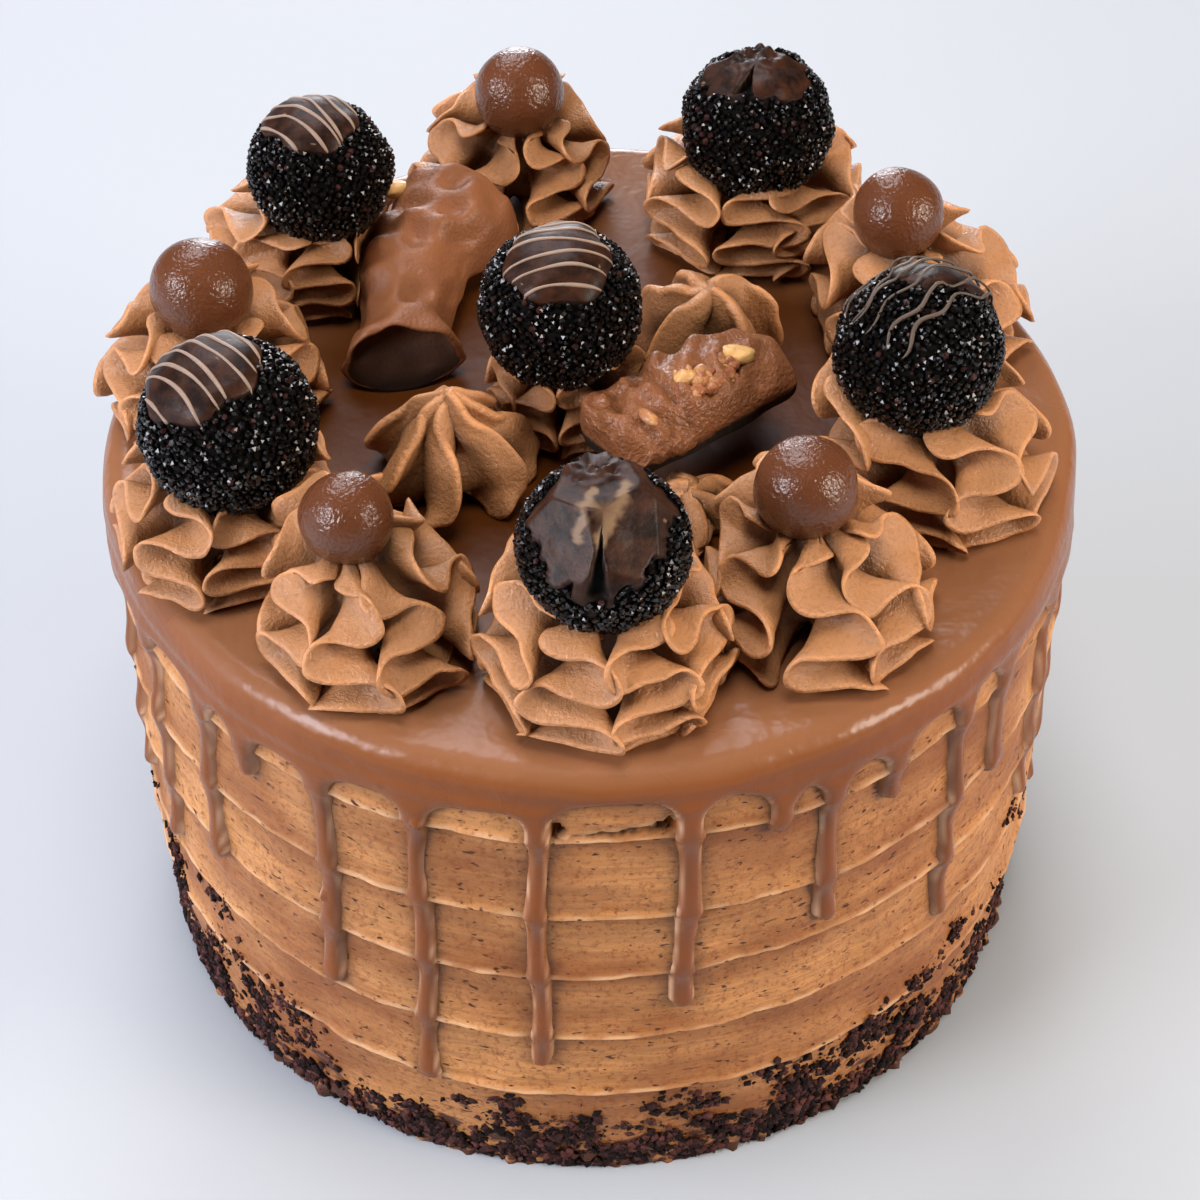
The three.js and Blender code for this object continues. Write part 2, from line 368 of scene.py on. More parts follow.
def add(tree, kind, inputs=(), out=0, **settings):
    """Adds a node with its settings, and gives one of its outputs.

    Inputs come in the node's own order, or by name or number. Each is a value, or an output to link from.
    """
    node = tree.nodes.new("ShaderNode" + kind)
    for name, value in settings.items():
        setattr(node, name, value)
    for name, value in inputs.items() if isinstance(inputs, dict) else enumerate(inputs):
        if isinstance(value, bpy.types.NodeSocket):
            tree.links.new(value, node.inputs[name])
        else:
            node.inputs[name].default_value = value
    return node.outputs[out] if len(node.outputs) else None


def begin(name, *attributes):
    """A new material with an empty tree, the object coordinates of its surface, and stored values."""
    material = bpy.data.materials.new(name)
    material.use_nodes = True
    tree = material.node_tree
    tree.nodes.clear()
    stored = [add(tree, "Attribute", out="Fac", attribute_name=key) for key in attributes]
    return material, tree, add(tree, "TexCoord", out="Object"), *stored


def finish(material, **inputs):
    """Closes a material's tree with its shader and output. An input's name has _ for each space."""
    named = {key.replace("_", " "): value for key, value in inputs.items()}
    add(material.node_tree, "OutputMaterial", (add(material.node_tree, "BsdfPrincipled", named),))
    return material


def per(millimetres):
    """Texture scale that gives a feature of that size on coordinates in metres."""
    return 1 / (millimetres * MM)


def shade(rgb, amount):
    """A colour made lighter or darker, with its alpha."""
    return (*[min(part * amount, 1) for part in rgb], 1)


def scraped_buttercream(rgb, dark, thin, stain):
    """Buttercream drawn round with a scraper: satin, with fine drag lines, grain and pits.

    It has painted shade under each ridge, in the holes and tears, and beside the drips, and a painted
    highlight along each ridge's lip and the tear's rim. At the foot the scraper dragged dark crumbs in.
    """
    material, tree, where, shade_under_ridges, lip, tear_and_shade = begin("scraped_buttercream", "shade_under_ridges", "lip", "tear_and_shade")
    # Drag lines, bands of tone, pits and dragged crumbs: each with its length along the scraper's path and
    # its height. Pits and grain are drawn a little coarser than they are, so that they show.
    drawn = []
    drags = ((16, 0.9, 3, 0.5), (38, 14, 3, 0.5), (2.2, 0.9, 1, 0.7), (6, 2.6, 4, 0.5))
    for length, height, detail, roughness in drags:
        drag = add(tree, "Mapping", {"Vector": where, "Scale": (per(length), per(length), per(height))})
        noise = {"Vector": drag, "Scale": 1, "Detail": detail, "Roughness": roughness}
        drawn.append(add(tree, "TexNoise", noise))
    lines, bands, pits, crumbs = drawn
    grain = add(tree, "TexNoise", {"Vector": where, "Scale": per(1.2), "Detail": 4, "Roughness": 0.75})
    streak = add(tree, "MapRange", (lines, 0.3, 0.7))
    tone = add(tree, "MapRange", (bands, 0.38, 0.64, 0, 0.75))
    fleck = add(tree, "MapRange", (grain, 0.32, 0.5, 0.8, 0))
    pitted = add(tree, "MapRange", (pits, 0.67, 0.74))
    low = add(tree, "MapRange", (add(tree, "SeparateXYZ", (where,), "Z"), 0.018, 0, -0.2, 0.12))
    dirty = add(tree, "Math", (crumbs, low), operation="ADD")
    stained = add(tree, "MapRange", (dirty, 0.5, 0.58))
    skin = add(tree, "Mix", {0: streak, 6: shade(rgb, 0.78), 7: shade(rgb, 1.16)}, 2, **RGBA)
    # Coats in turn: random tone, flecks, painted shade under the ridges, the painted highlight on the lips,
    # painted shade in the tears and beside the drips, pits, and dark crumbs dragged in at the foot
    for share, coat in (
        (tone, shade(dark, 1)), (fleck, shade(dark, 1)), (shade_under_ridges, shade(dark, 0.8)), (lip, shade(thin, 1)),
        (tear_and_shade, shade(dark, 0.06)), (pitted, shade(dark, 0.4)), (stained, shade(stain, 1)),
    ):
        skin = add(tree, "Mix", {0: share, 6: skin, 7: coat}, 2, **RGBA)
    rough = add(tree, "Math", (grain, 0.6, lines), operation="MULTIPLY_ADD")
    relief = add(tree, "Math", (rough, pitted), operation="SUBTRACT")
    bump = add(tree, "Bump", {"Height": relief, "Strength": 0.7, "Distance": 0.4 * MM})
    return finish(material, Base_Color=skin, Roughness=0.44, IOR=1.4, Normal=bump, **SOFT)


def piped_buttercream(rgb):
    """Buttercream from a star nozzle: moist, with a painted highlight on its narrow edges, painted shade in
    its grooves, and a fine grain.

    The grain of its sugar and cocoa is drawn a little coarser than it is, so that it shows.
    """
    material, tree, where, reach = begin("piped_buttercream", "reach")
    cloud = add(tree, "TexNoise", {"Vector": where, "Scale": per(9), "Detail": 3})
    grain = add(tree, "TexNoise", {"Vector": where, "Scale": per(0.8), "Detail": 3, "Roughness": 0.7})
    # Painted shade deep in the grooves, and a painted highlight on the fins' edges
    groove = add(tree, "MapRange", (reach, 0.05, 0.55))
    rim = add(tree, "MapRange", (reach, 0.93, 1))
    tone = add(tree, "MapRange", (cloud, 0.3, 0.7, 0, 0.35))
    speckle = add(tree, "MapRange", (grain, 0.3, 0.5, 0.5, 0))
    skin = add(tree, "Mix", {0: groove, 6: shade(rgb, 0.3), 7: shade(rgb, 0.95)}, 2, **RGBA)
    for share, amount in ((rim, 1.55), (tone, 0.62), (speckle, 0.5)):
        skin = add(tree, "Mix", {0: share, 6: skin, 7: shade(rgb, amount)}, 2, **RGBA)
    bump = add(tree, "Bump", {"Height": grain, "Strength": 0.85, "Distance": 0.5 * MM})
    return finish(material, Base_Color=skin, Roughness=0.23, IOR=1.5, Normal=bump, **SOFT)


def poured_ganache(rgb, bloom_and_sheen, edge_highlight):
    """Set ganache: smooth and satin glossy, with faint flow lines, and paler along its edges as a painted
    highlight.

    The flat top has a milky colour as a painted sheen; the middle of the top is darker, as painted shade
    among the toppings, and duller.
    """
    material, tree, where, flat, middle, thin = begin("poured_ganache", "flat", "middle", "thin")
    cloud = add(tree, "TexNoise", {"Vector": where, "Scale": per(22), "Detail": 3})
    flow = add(tree, "TexNoise", {"Vector": where, "Scale": per(5), "Detail": 2})
    fine = add(tree, "TexNoise", {"Vector": where, "Scale": per(1.2), "Detail": 1})
    # Painted sheen of the flat top, turning to painted shade in the middle among the toppings
    cast = add(tree, "Mix", {0: middle, 6: shade(bloom_and_sheen, 1), 7: shade(rgb, 0.35)}, 2, **RGBA)
    skin = add(tree, "Mix", {0: cloud, 6: shade(rgb, 0.86), 7: shade(rgb, 1.14)}, 2, **RGBA)
    # The flat top takes the painted sheen and shade, and a painted highlight lines the edges of the outline
    for share, coat in ((flat, cast), (thin, shade(edge_highlight, 1))):
        skin = add(tree, "Mix", {0: share, 6: skin, 7: coat}, 2, **RGBA)
    waves = add(tree, "Math", (fine, 0.08, flow), operation="MULTIPLY_ADD")
    bump = add(tree, "Bump", {"Height": waves, "Strength": 0.6, "Distance": 0.7 * MM})
    rough = add(tree, "MapRange", (cloud, 0.3, 0.7, 0.2, 0.32))
    dull = add(tree, "Math", (middle, 0.25, rough), operation="MULTIPLY_ADD")
    return finish(material, Base_Color=skin, Roughness=dull, IOR=1.38, Normal=bump)


def truffle_chocolate(rgb, core, pale):
    """Dark chocolate shell with a dusty bloom and pale smears.

    Under the beads, where cap is 0, it is black and dull.
    """
    material, tree, where, cap, smear = begin("truffle_chocolate", "cap", "smear")
    cloud = add(tree, "TexNoise", {"Vector": where, "Scale": per(3), "Detail": 4, "Roughness": 0.6})
    bloom_and_sheen = add(tree, "MapRange", (cloud, 0.35, 0.7))
    tone = add(tree, "Mix", {0: bloom_and_sheen, 6: shade(rgb, 0.3), 7: shade(rgb, 1.6)}, 2, **RGBA)
    smudge = add(tree, "Math", (smear, 0.8), operation="MULTIPLY")
    shell = add(tree, "Mix", {0: smudge, 6: tone, 7: shade(pale, 1)}, 2, **RGBA)
    skin = add(tree, "Mix", {0: cap, 6: shade(core, 0.6), 7: shell}, 2, **RGBA)
    dull = add(tree, "MapRange", (cap, 0, 1, 0.9, 0.44))
    bump = add(tree, "Bump", {"Height": cloud, "Strength": 0.4, "Distance": 0.5 * MM})
    return finish(material, Base_Color=skin, Roughness=dull, IOR=1.32, Normal=bump)


def chocolate_beads(rgb):
    """Black chocolate beads, a few of them reddish: hard and shiny enough to glint."""
    material, tree, _, tint = begin("chocolate_beads", "tint")
    few = add(tree, "MapRange", (tint, 0.94, 1))
    skin = add(tree, "Mix", {0: few, 6: shade(rgb, 1), 7: shade(linear(REDDISH_BEAD), 1)}, 2, **RGBA)
    return finish(material, Base_Color=skin, Roughness=0.22, IOR=1.5)


def drizzled_chocolate(rgb):
    """Pale chocolate drawn in fine lines: smooth, set dull, and darker on its loose lines over the beads, as
    painted shade.
    """
    material, tree, where, thin = begin("drizzled_chocolate", "thin")
    cloud = add(tree, "TexNoise", {"Vector": where, "Scale": per(2.5), "Detail": 2})
    tone = add(tree, "Mix", {0: cloud, 6: shade(rgb, 0.75), 7: shade(rgb, 1.15)}, 2, **RGBA)
    # Loose lines over the beads are darkened as painted shade
    skin = add(tree, "Mix", {0: thin, 6: tone, 7: shade(rgb, 0.32)}, 2, **RGBA)
    return finish(material, Base_Color=skin, Roughness=0.45, IOR=1.42)


def panned_chocolate(rgb):
    """Malt balls tumbled in chocolate: polished, with a fine pebbled skin that breaks the highlights up."""
    material, tree, where = begin("panned_chocolate")
    cloud = add(tree, "TexNoise", {"Vector": where, "Scale": per(6), "Detail": 2})
    pebbles = add(tree, "TexNoise", {"Vector": where, "Scale": per(0.75), "Detail": 2})
    skin = add(tree, "Mix", {0: cloud, 6: shade(rgb, 0.86), 7: shade(rgb, 1.14)}, 2, **RGBA)
    bump = add(tree, "Bump", {"Height": pebbles, "Strength": 0.9, "Distance": 0.32 * MM})
    return finish(material, Base_Color=skin, Roughness=0.2, IOR=1.5, Normal=bump)


def enrobing_chocolate(rgb):
    """Milk chocolate curtain over a nut bar: satin, with small bumps, paler places where the coat is thinner,
    a dark foot, and painted shade in the first bar's mouth.
    """
    material, tree, where, dark_foot_and_mouth_shade, grainy = begin("enrobing_chocolate", "dark_foot_and_mouth_shade", "grainy")
    cloud = add(tree, "TexNoise", {"Vector": where, "Scale": per(5), "Detail": 3})
    bumps = add(tree, "TexNoise", {"Vector": where, "Scale": per(0.8), "Detail": 2})
    tone = add(tree, "Mix", {0: cloud, 6: shade(rgb, 0.78), 7: shade(rgb, 1.22)}, 2, **RGBA)
    # Dark foot, and painted shade in the first bar's mouth
    skin = add(tree, "Mix", {0: dark_foot_and_mouth_shade, 6: tone, 7: shade(rgb, 0.06)}, 2, **RGBA)
    coarse = add(tree, "MapRange", (grainy, 0, 1, 0.4, 1))
    bump = add(tree, "Bump", {"Height": bumps, "Strength": coarse, "Distance": 0.5 * MM})
    dull = add(tree, "MapRange", (grainy, 0, 1, 0.46, 0.33))
    matt = add(tree, "Math", (dull, dark_foot_and_mouth_shade), operation="MAXIMUM")
    return finish(material, Base_Color=skin, Roughness=matt, IOR=1.45, Normal=bump)


def roasted_nut(rgb, peel):
    """Broken roasted peanut: golden where it split, reddish with bits of skin and toffee elsewhere."""
    material, tree, where, golden = begin("roasted_nut", "golden")
    toast = add(tree, "TexNoise", {"Vector": where, "Scale": per(1.6), "Detail": 3})
    mixed = add(tree, "Math", (toast, 1.2, golden), operation="MULTIPLY_ADD")
    split = add(tree, "MapRange", (mixed, 0.7, 1.6))
    skin = add(tree, "Mix", {0: split, 6: shade(peel, 1), 7: shade(rgb, 1)}, 2, **RGBA)
    bump = add(tree, "Bump", {"Height": toast, "Strength": 0.6, "Distance": 0.5 * MM})
    return finish(material, Base_Color=skin, Roughness=0.36, IOR=1.46, Normal=bump)


def cake_crumb(rgb):
    """Dark cake crumb: porous and dull, each crumb with its own depth of colour."""
    material, tree, where, tint = begin("cake_crumb", "tint")
    pores = add(tree, "TexNoise", {"Vector": where, "Scale": per(0.9), "Detail": 3})
    baked = add(tree, "Math", (tint, 0.8, pores), operation="MULTIPLY_ADD")
    depth = add(tree, "MapRange", (baked, 0.55, 1.2))
    skin = add(tree, "Mix", {0: depth, 6: shade(rgb, 0.3), 7: shade(rgb, 5.5)}, 2, **RGBA)
    bump = add(tree, "Bump", {"Height": pores, "Strength": 1, "Distance": 0.7 * MM})
    return finish(material, Base_Color=skin, Roughness=0.75, IOR=1.3, Normal=bump)


def painted_floor(rgb):
    """Pale painted floor: matte, with barely any tone of its own."""
    material, tree, where = begin("painted_floor")
    cloud = add(tree, "TexNoise", {"Vector": where, "Scale": per(400), "Detail": 1})
    skin = add(tree, "Mix", {0: cloud, 6: shade(rgb, 0.98), 7: shade(rgb, 1.02)}, 2, **RGBA)
    return finish(material, Base_Color=skin, Roughness=0.7)


# The iced body

BODY_COLUMNS = 600
BAND_ROWS = 22
UNDERCUT = 0.5  # height of the step under a ridge
RIDGE_WAVES = ((2, 0.5), (5, 0.3), (11, 0.14))  # waves round the cake, and their heights
# Two holes beside drips at the front: angle in degrees, height, half width and height, and depth
HOLES = ((-93.7, 95.9, 1.3, 1.9, 3.0), (-81.5, 96.5, 1.4, 1.6, 3.0))
# The tear between them, that opens to the right: ends in degrees, height of its foot, opening and depth
LONG_TEAR = {"ends": (-93.4, -81), "foot": 94.5, "opening": 3.4, "depth": 0.9}
BESIDE_DRIP = 1.1  # how far the shade beside a drip reaches
SMALL_TEARS = 46
TEAR_EDGE, TEAR_END = 6, 15  # how sharply the long tear opens at its edges and ends
TEAR_RIM = 0.4  # width of the rim along its upper edge
# Unevenness of the side, and of its foot: height, wavelength and seed
UNEVEN = ((0.16, 16, 21), (0.07, 5, 22))
FOOT_HEIGHT, FOOT_UNEVEN = 9, (0.5, 4, 23)


def ridge_heights(theta):
    """Height of each ridge round the cake: its own level and three slow waves."""
    phases = np.random.default_rng(3).uniform(0, TAU, (len(RIDGES), len(RIDGE_WAVES)))
    return [
        level + sum(
            height * np.sin(turns * theta + phase) for (turns, height), phase in zip(RIDGE_WAVES, row)
        )
        for level, row in zip(RIDGES, phases)
    ]


def side_radius(theta, z, depth, lip):
    """Radius of the scraped side. It widens from the base to the first ridge.

    From each ridge a band leans in by the depth up to the next ridge, and steps out again under it. A lip
    stands out just over each ridge and dies away within a millimetre.
    """
    radius = np.interp(z, [0, RIDGES[0]], [BASE_RADIUS, SIDE_RADIUS])
    levels = [np.zeros_like(theta), *ridge_heights(theta), np.full_like(theta, BODY_TOP + 4)]
    for band, (low, high) in enumerate(zip(levels, levels[1:])):
        inside = (z >= low) & (z < high)
        strength = 0.72 + 0.28 * np.sin((3 + band) * theta + 2 * band)
        lean = depth * strength * ((z - low) / (high - low)) ** 0.8 * np.clip((high - z) / UNDERCUT, 0, 1)
        smear = lip * strength * np.exp(-(((z - low) / 0.7) ** 2)) if band else 0
        radius = np.where(inside, radius - lean + smear, radius)
    return radius


def tears(theta, z):
    """How deep the icing is opened by tears and holes, and how near a point is to the long tear's raised rim.

    The long tear is a wedge, and the holes and small tears are lens shaped pockets.
    """
    rng = np.random.default_rng(8)
    small = zip(rng.uniform(-180, 180, SMALL_TEARS), rng.integers(0, len(RIDGES), SMALL_TEARS),
                rng.uniform(1.5, 7, SMALL_TEARS), rng.uniform(0.3, 0.7, SMALL_TEARS))
    lenses = list(HOLES) + [
        (angle, float(ridge_heights(np.radians(angle))[ridge]) - 0.9, wide, high, 0.8)
        for angle, ridge, wide, high in small
    ]
    start, end = np.radians(LONG_TEAR["ends"])
    along = turn_from(start, theta) / (end - start)
    opening = LONG_TEAR["opening"] * np.clip(along, 0.01, 1)
    up = (z - LONG_TEAR["foot"]) / opening
    open_across = ease(TEAR_EDGE * up) * ease(TEAR_EDGE * (1 - up))
    depth = LONG_TEAR["depth"] * open_across * ease(TEAR_END * along) * ease(TEAR_END * (1 - along))
    rim = np.exp(-(((up - 1) * opening / TEAR_RIM) ** 2))
    rim = rim * ease(TEAR_END * along) * ease(TEAR_END * (1.05 - along))
    for angle, level, wide, high, deep in lenses:
        x = SIDE_RADIUS * turn_from(math.radians(angle), theta)
        inside = 1 - (x / wide) ** 2 - ((z - level) / high) ** 2
        depth = np.maximum(depth, deep * ease(inside * 2.5))
    return depth, rim


def iced_body(depth, lip, half_width, funnel):
    """Grid of the body: rows at shares of each band, close together at ridges, and columns round the cake.

    Its values say how deep the icing is opened, darker with painted shade in the tears and beside the drips;
    where a painted highlight lies on a ridge's lip or the tear's rim; and how much painted shade lies under a
    ridge.
    """
    theta = np.linspace(0, TAU, BODY_COLUMNS, endpoint=False)
    ridges = ridge_heights(theta)
    levels = [np.zeros_like(theta), *ridges, np.full_like(theta, BODY_TOP)]
    shares = (1 - np.cos(np.linspace(0, math.pi, BAND_ROWS))) / 2
    z = np.concatenate([low + (high - low) * shares[:-1, None] for low, high in zip(levels, levels[1:])])
    z = np.concatenate([z, levels[-1][None]])
    theta = np.broadcast_to(theta, z.shape).copy()
    tear_and_shade, rim = tears(theta, z)
    flat = around(theta, SIDE_RADIUS, z)
    rough = sum(height * wobble(flat, wavelength, seed) for height, wavelength, seed in UNEVEN)
    height, *waves = FOOT_UNEVEN
    rough += ease((FOOT_HEIGHT - z) / FOOT_HEIGHT) * height * wobble(flat, *waves)
    radius = side_radius(theta, z, depth, lip) + rough - tear_and_shade * (1 + 0.35 * wobble(flat, 1.6, 24))
    # Painted highlight along each ridge's lip, patchy round the cake
    patchy = ease(0.5 + 0.6 * wobble(flat, 11, 25))
    bright = sum(np.exp(-(((z - level - 0.25) / 0.4) ** 2)) for level in ridges) * (0.25 + 0.6 * patchy)
    # Painted shade under each ridge, fading down the band below it
    under = [level - z for level in ridges]
    shade_under_ridges = sum(np.exp(-np.maximum(gap, 0) / 3.5) * ease(gap / 0.5) for gap in under)
    shade_under_ridges = 0.85 * shade_under_ridges * (0.55 + 0.45 * ease(0.5 + 0.5 * wobble(flat, 40, 26)))
    # Painted shade beside each drip, joined to the darkening of the tears: painted shade, deeper where they
    # go deeper, with ragged specks
    beside = np.exp(np.minimum(pour_outline(theta, z, half_width, funnel)[0], 0) / BESIDE_DRIP)
    tear_and_shade = np.maximum(tear_and_shade * np.maximum(0.7 + 0.8 * wobble(flat, 1.8, 27), 0.25), beside)
    radius = radius + 0.3 * rim
    # The tear's raised rim takes the painted highlight too
    lip_highlight = np.clip(np.maximum(bright, 0.9 * rim), 0, 1)
    return around(theta, radius, z), np.clip(tear_and_shade / 2, 0, 1), lip_highlight, np.clip(shade_under_ridges, 0, 1)


# The poured chocolate

POUR_COLUMNS = 900
POUR_STEP = 0.72  # height of a row on the side
POUR_LOWEST = 20
INNER_RADIUS = 83.4
TOP_SHARES = (0.02, 0.3, 0.5, 0.6, 0.7, 0.8, 0.9, 0.96)  # rows on the top, as shares of the radius
RIM_ROWS = 9
RING_INSIDE, RING_OUTSIDE = 42, 78  # radii between which the top turns from dark painted shade to milky painted sheen
SOFTEN = 8  # rows to each side over which a drip evens out the ridges under it
LIP_SHIFTS = (-1.5, -0.75, 0, 0.75, 1.5)  # heights to each side at which a drip rides on the furthest lip
MARGIN = 1.3  # how far the mesh goes on inside the icing, past the edge that shows
TOP_THICKNESS = 2.3
DRIP_TIP, DRIP_NECK = 1.08, 0.92  # widths of a drip's tip and neck beside its middle
BULB = 4.5  # half the height of the swelling at a drip's tip
# Lower edge of the skirt round the back: its height, and waves as turns, height and phase
BACK_SKIRT, SKIRT_WAVES = 99, ((5, 1.6, 0), (8, 1.2, 1))
SKIRT_BLEND = 10  # degrees over which the front turns into the back
DRIP_SWAY = 0.45  # how far a drip strays to each side
OVER_RIDGE = 0.75  # how much wider a drip is to each side where it runs over a ridge
BUBBLES = ((-121.9, 65.5, 1.0), (-108.5, 94.5, 1.1), (-113, 101, 0.5))  # angle in degrees, height, radius


def all_drips():
    """Angle in radians and height of the tip of each drip."""
    first, last, number, lowest, highest = BACK_DRIPS.values()
    back = [(first + (last - first) * i / (number - 1), lowest + (highest - lowest) * ((i * GOLDEN) % 1))
            for i in range(number)]
    return [(math.radians(angle), tip) for angle, tip in FRONT_DRIPS + back]


def skirt_edge(theta):
    """Height of the skirt's lower edge: through given points at the front, in slow waves round the back."""
    angles, heights = np.array(FRONT_SKIRT, float).T
    degrees = (np.degrees(theta) + 180) % 360 - 180
    given = np.interp(degrees, angles, heights)
    waves = BACK_SKIRT + sum(height * np.sin(turns * theta + phase) for turns, height, phase in SKIRT_WAVES)
    front = ease((degrees - angles[0]) / SKIRT_BLEND) * ease((angles[-1] - degrees) / SKIRT_BLEND)
    return front * given + (1 - front) * waves


def pour_outline(theta, z, half_width, funnel):
    """Distance inside the outline of the chocolate on the unrolled side, negative outside it.

    Each drip is a line with a round end, swollen at the tip and narrow at the neck. The skirt is all that
    lies above its edge. A smooth maximum joins them, so that a drip leaves the skirt in a funnel.
    """
    inside = np.full_like(z, -99.0)
    swell = np.zeros_like(z)
    for i, (angle, tip) in enumerate(all_drips()):
        wide = half_width * (1 + 0.12 * math.sin(2.4 * i))
        middle = tip + wide * DRIP_TIP
        x = SIDE_RADIUS * turn_from(angle, theta)
        x = x - DRIP_SWAY * np.sin(z / 8 + 1.7 * i) * ease((104 - z) / 20)
        bulb = np.exp(-(((z - middle) / BULB) ** 2))
        width = wide * (DRIP_NECK + (DRIP_TIP - DRIP_NECK) * bulb)
        width = width + sum(OVER_RIDGE * np.exp(-np.abs(z - level) / 1.3) for level in ridge_heights(angle))
        distance = width - np.hypot(x, np.maximum(middle - z, 0))
        swell = np.where(distance > inside, bulb, swell)
        inside = np.maximum(inside, distance)
    skirt = z - skirt_edge(theta)
    near = np.maximum(funnel - np.abs(inside - skirt), 0) / funnel
    return np.maximum(inside, skirt) + near**2 * funnel / 4, swell


def poured_chocolate(props, depth, lip):
    """The poured chocolate as a closed shell.

    Outer rows run from the middle of the top over a rounded rim and down the side, where the surface stands
    out by a quarter ellipse of the distance inside the outline, and dives into the icing outside it. Cells
    well outside the outline are left out. An inner copy of what is left, joined along the border, closes
    the shell. Its values are 1 along the edge of the outline, where a highlight is painted; on the flat top,
    where a sheen is painted; and in the middle of the top, where shade is painted.
    """
    thickness, rounding = props.thickness / MM, props.rim_rounding / MM
    half_width = props.drip_width / MM / 2
    theta = np.linspace(0, TAU, POUR_COLUMNS, endpoint=False)
    side_z = np.arange(TOP_Z - rounding, POUR_LOWEST, -POUR_STEP)
    z, angle = np.meshgrid(side_z, theta, indexing="ij")
    inside, swell = pour_outline(angle, z, half_width, props.funnel / MM)
    full = np.clip(inside / half_width, 0, 1)
    stand = thickness * (1 + 0.25 * swell) * np.sqrt(1 - (1 - full) ** 2)
    stand = np.where(inside < 0, np.maximum(2.4 * inside, -2.2), stand)
    for degrees, level, radius in BUBBLES:
        x = SIDE_RADIUS * turn_from(math.radians(degrees), angle)
        stand = stand + 0.9 * np.sqrt(np.maximum(radius**2 - x**2 - (z - level) ** 2, 0))
    lips = np.max([side_radius(angle, z + shift, depth, lip) for shift in LIP_SHIFTS], axis=0)
    lips = np.pad(lips, ((SOFTEN, SOFTEN), (0, 0)), mode="edge")
    weights = np.hanning(2 * SOFTEN + 3)[1:-1]
    icing = sum(weight * lips[k:k + len(z)] for k, weight in enumerate(weights)) / weights.sum()
    flow = 0.12 * np.sin(TAU * z / 4.2 + 1.5 * np.sin(3 * angle)) * ease((z - 94) / 8)
    side = around(angle, icing + stand + flow + 0.15 * wobble(around(angle, SIDE_RADIUS, z), 22, 31), z)

    join = np.hypot(side[0, :, 0], side[0, :, 1])
    turn = np.linspace(math.pi / 2, 0, RIM_ROWS + 1)[:-1, None]
    rim = around(theta, join - rounding * (1 - np.cos(turn)), TOP_Z - rounding * (1 - np.sin(turn)))
    top = around(theta, (join - rounding) * np.array(TOP_SHARES)[:, None], TOP_Z)
    outer = np.concatenate([top, rim, side])
    outer[..., 2] += 0.12 * wobble(outer, 40, 32) * ease((outer[..., 2] - 100) / 6)

    capped = len(top) + len(rim)
    inner = outer.copy()
    inner[:capped, :, 2] = TOP_Z - TOP_THICKNESS
    scale = np.minimum(INNER_RADIUS / np.maximum(np.hypot(outer[..., 0], outer[..., 1]), 1e-6), 1)
    inner[..., :2] *= scale[..., None]
    inner[capped:, :, 2] = np.minimum(inner[capped:, :, 2], TOP_Z - TOP_THICKNESS)

    keep = np.concatenate([np.full((capped, POUR_COLUMNS), True), inside > -MARGIN])
    rows, columns = keep.shape
    cells = grid_cells(rows, columns)[:, ::-1]
    cells = cells[keep.ravel()[cells].any(1)]
    number = rows * columns
    starts, ends = cells.ravel(), np.roll(cells, -1, axis=1).ravel()
    border = ~np.isin(starts * number + ends, ends * number + starts)
    edge = border & ~((starts < columns) & (ends < columns))
    wall = np.stack([starts[edge], starts[edge] + number, ends[edge] + number, ends[edge]], -1)
    ring = np.arange(columns)
    turned = np.roll(ring, -1)
    poles = np.array([[0, 0, TOP_Z], [0, 0, TOP_Z - TOP_THICKNESS]])
    fans = np.concatenate([
        np.stack([ring, turned, np.full(columns, 2 * number)], -1),
        np.stack([turned + number, ring + number, np.full(columns, 2 * number + 1)], -1),
    ])
    points = np.concatenate([outer.reshape(-1, 3), inner.reshape(-1, 3), poles])
    # Painted highlight along the edge of the outline, patchy round the cake
    thin = np.zeros(len(points))
    patchy = 0.35 + 0.65 * ease(0.5 + 0.6 * wobble(side, 9, 33))
    thin[capped * columns:number] = (patchy * np.exp(-(((inside - 0.1) / 0.3) ** 2))).ravel()
    faces = [np.concatenate([cells, cells[:, ::-1] + number, wall]), fans]
    used, index = np.unique(np.concatenate([f.ravel() for f in faces]), return_inverse=True)
    quads, triangles = np.split(index.ravel(), [faces[0].size])
    points = points[used]
    # The flat top takes a painted sheen, and its middle painted shade among the toppings
    flat = ease((points[:, 2] - TOP_Z + rounding) / rounding)
    middle = 1 - ease((np.hypot(points[:, 0], points[:, 1]) - RING_INSIDE) / (RING_OUTSIDE - RING_INSIDE))
    values = {"thin": thin[used], "flat": flat, "middle": middle}
    return points, [quads.reshape(-1, 4), triangles.reshape(-1, 3)], values


# The rosettes

ROSETTE_ROWS = 150
ACROSS = np.array([0, 0.25, 0.48, 0.68, 0.84, 0.95, 1])  # points from a fin's root to its edge, as shares
FIN_ROOT = 3.2  # thickness of a fin at its root
# Paths of the fins' edges from the foot to the top, as shares of the radius and of the height
CUP = (
    (0.6, 0.0), (0.84, 0.0), (0.99, 0.07), (1.06, 0.22), (1.07, 0.42), (1.01, 0.65), (0.92, 0.88),
    (0.81, 1.05), (0.66, 1.1), (0.42, 0.95),
)
NEST = (
    (0.6, 0.0), (0.84, 0.0), (0.99, 0.07), (1.06, 0.22), (1.04, 0.42), (0.93, 0.65), (0.77, 0.87),
    (0.58, 1.0), (0.42, 1.02), (0.22, 0.85),
)
PEAK = ((0.7, 0.0), (0.98, 0.04), (1.08, 0.2), (0.96, 0.44), (0.68, 0.68), (0.34, 0.9), (0.04, 1.0))
DOME = ((0.9, 0.0), (1.04, 0.12), (1.06, 0.4), (0.9, 0.7), (0.55, 0.93), (0.06, 1.0))
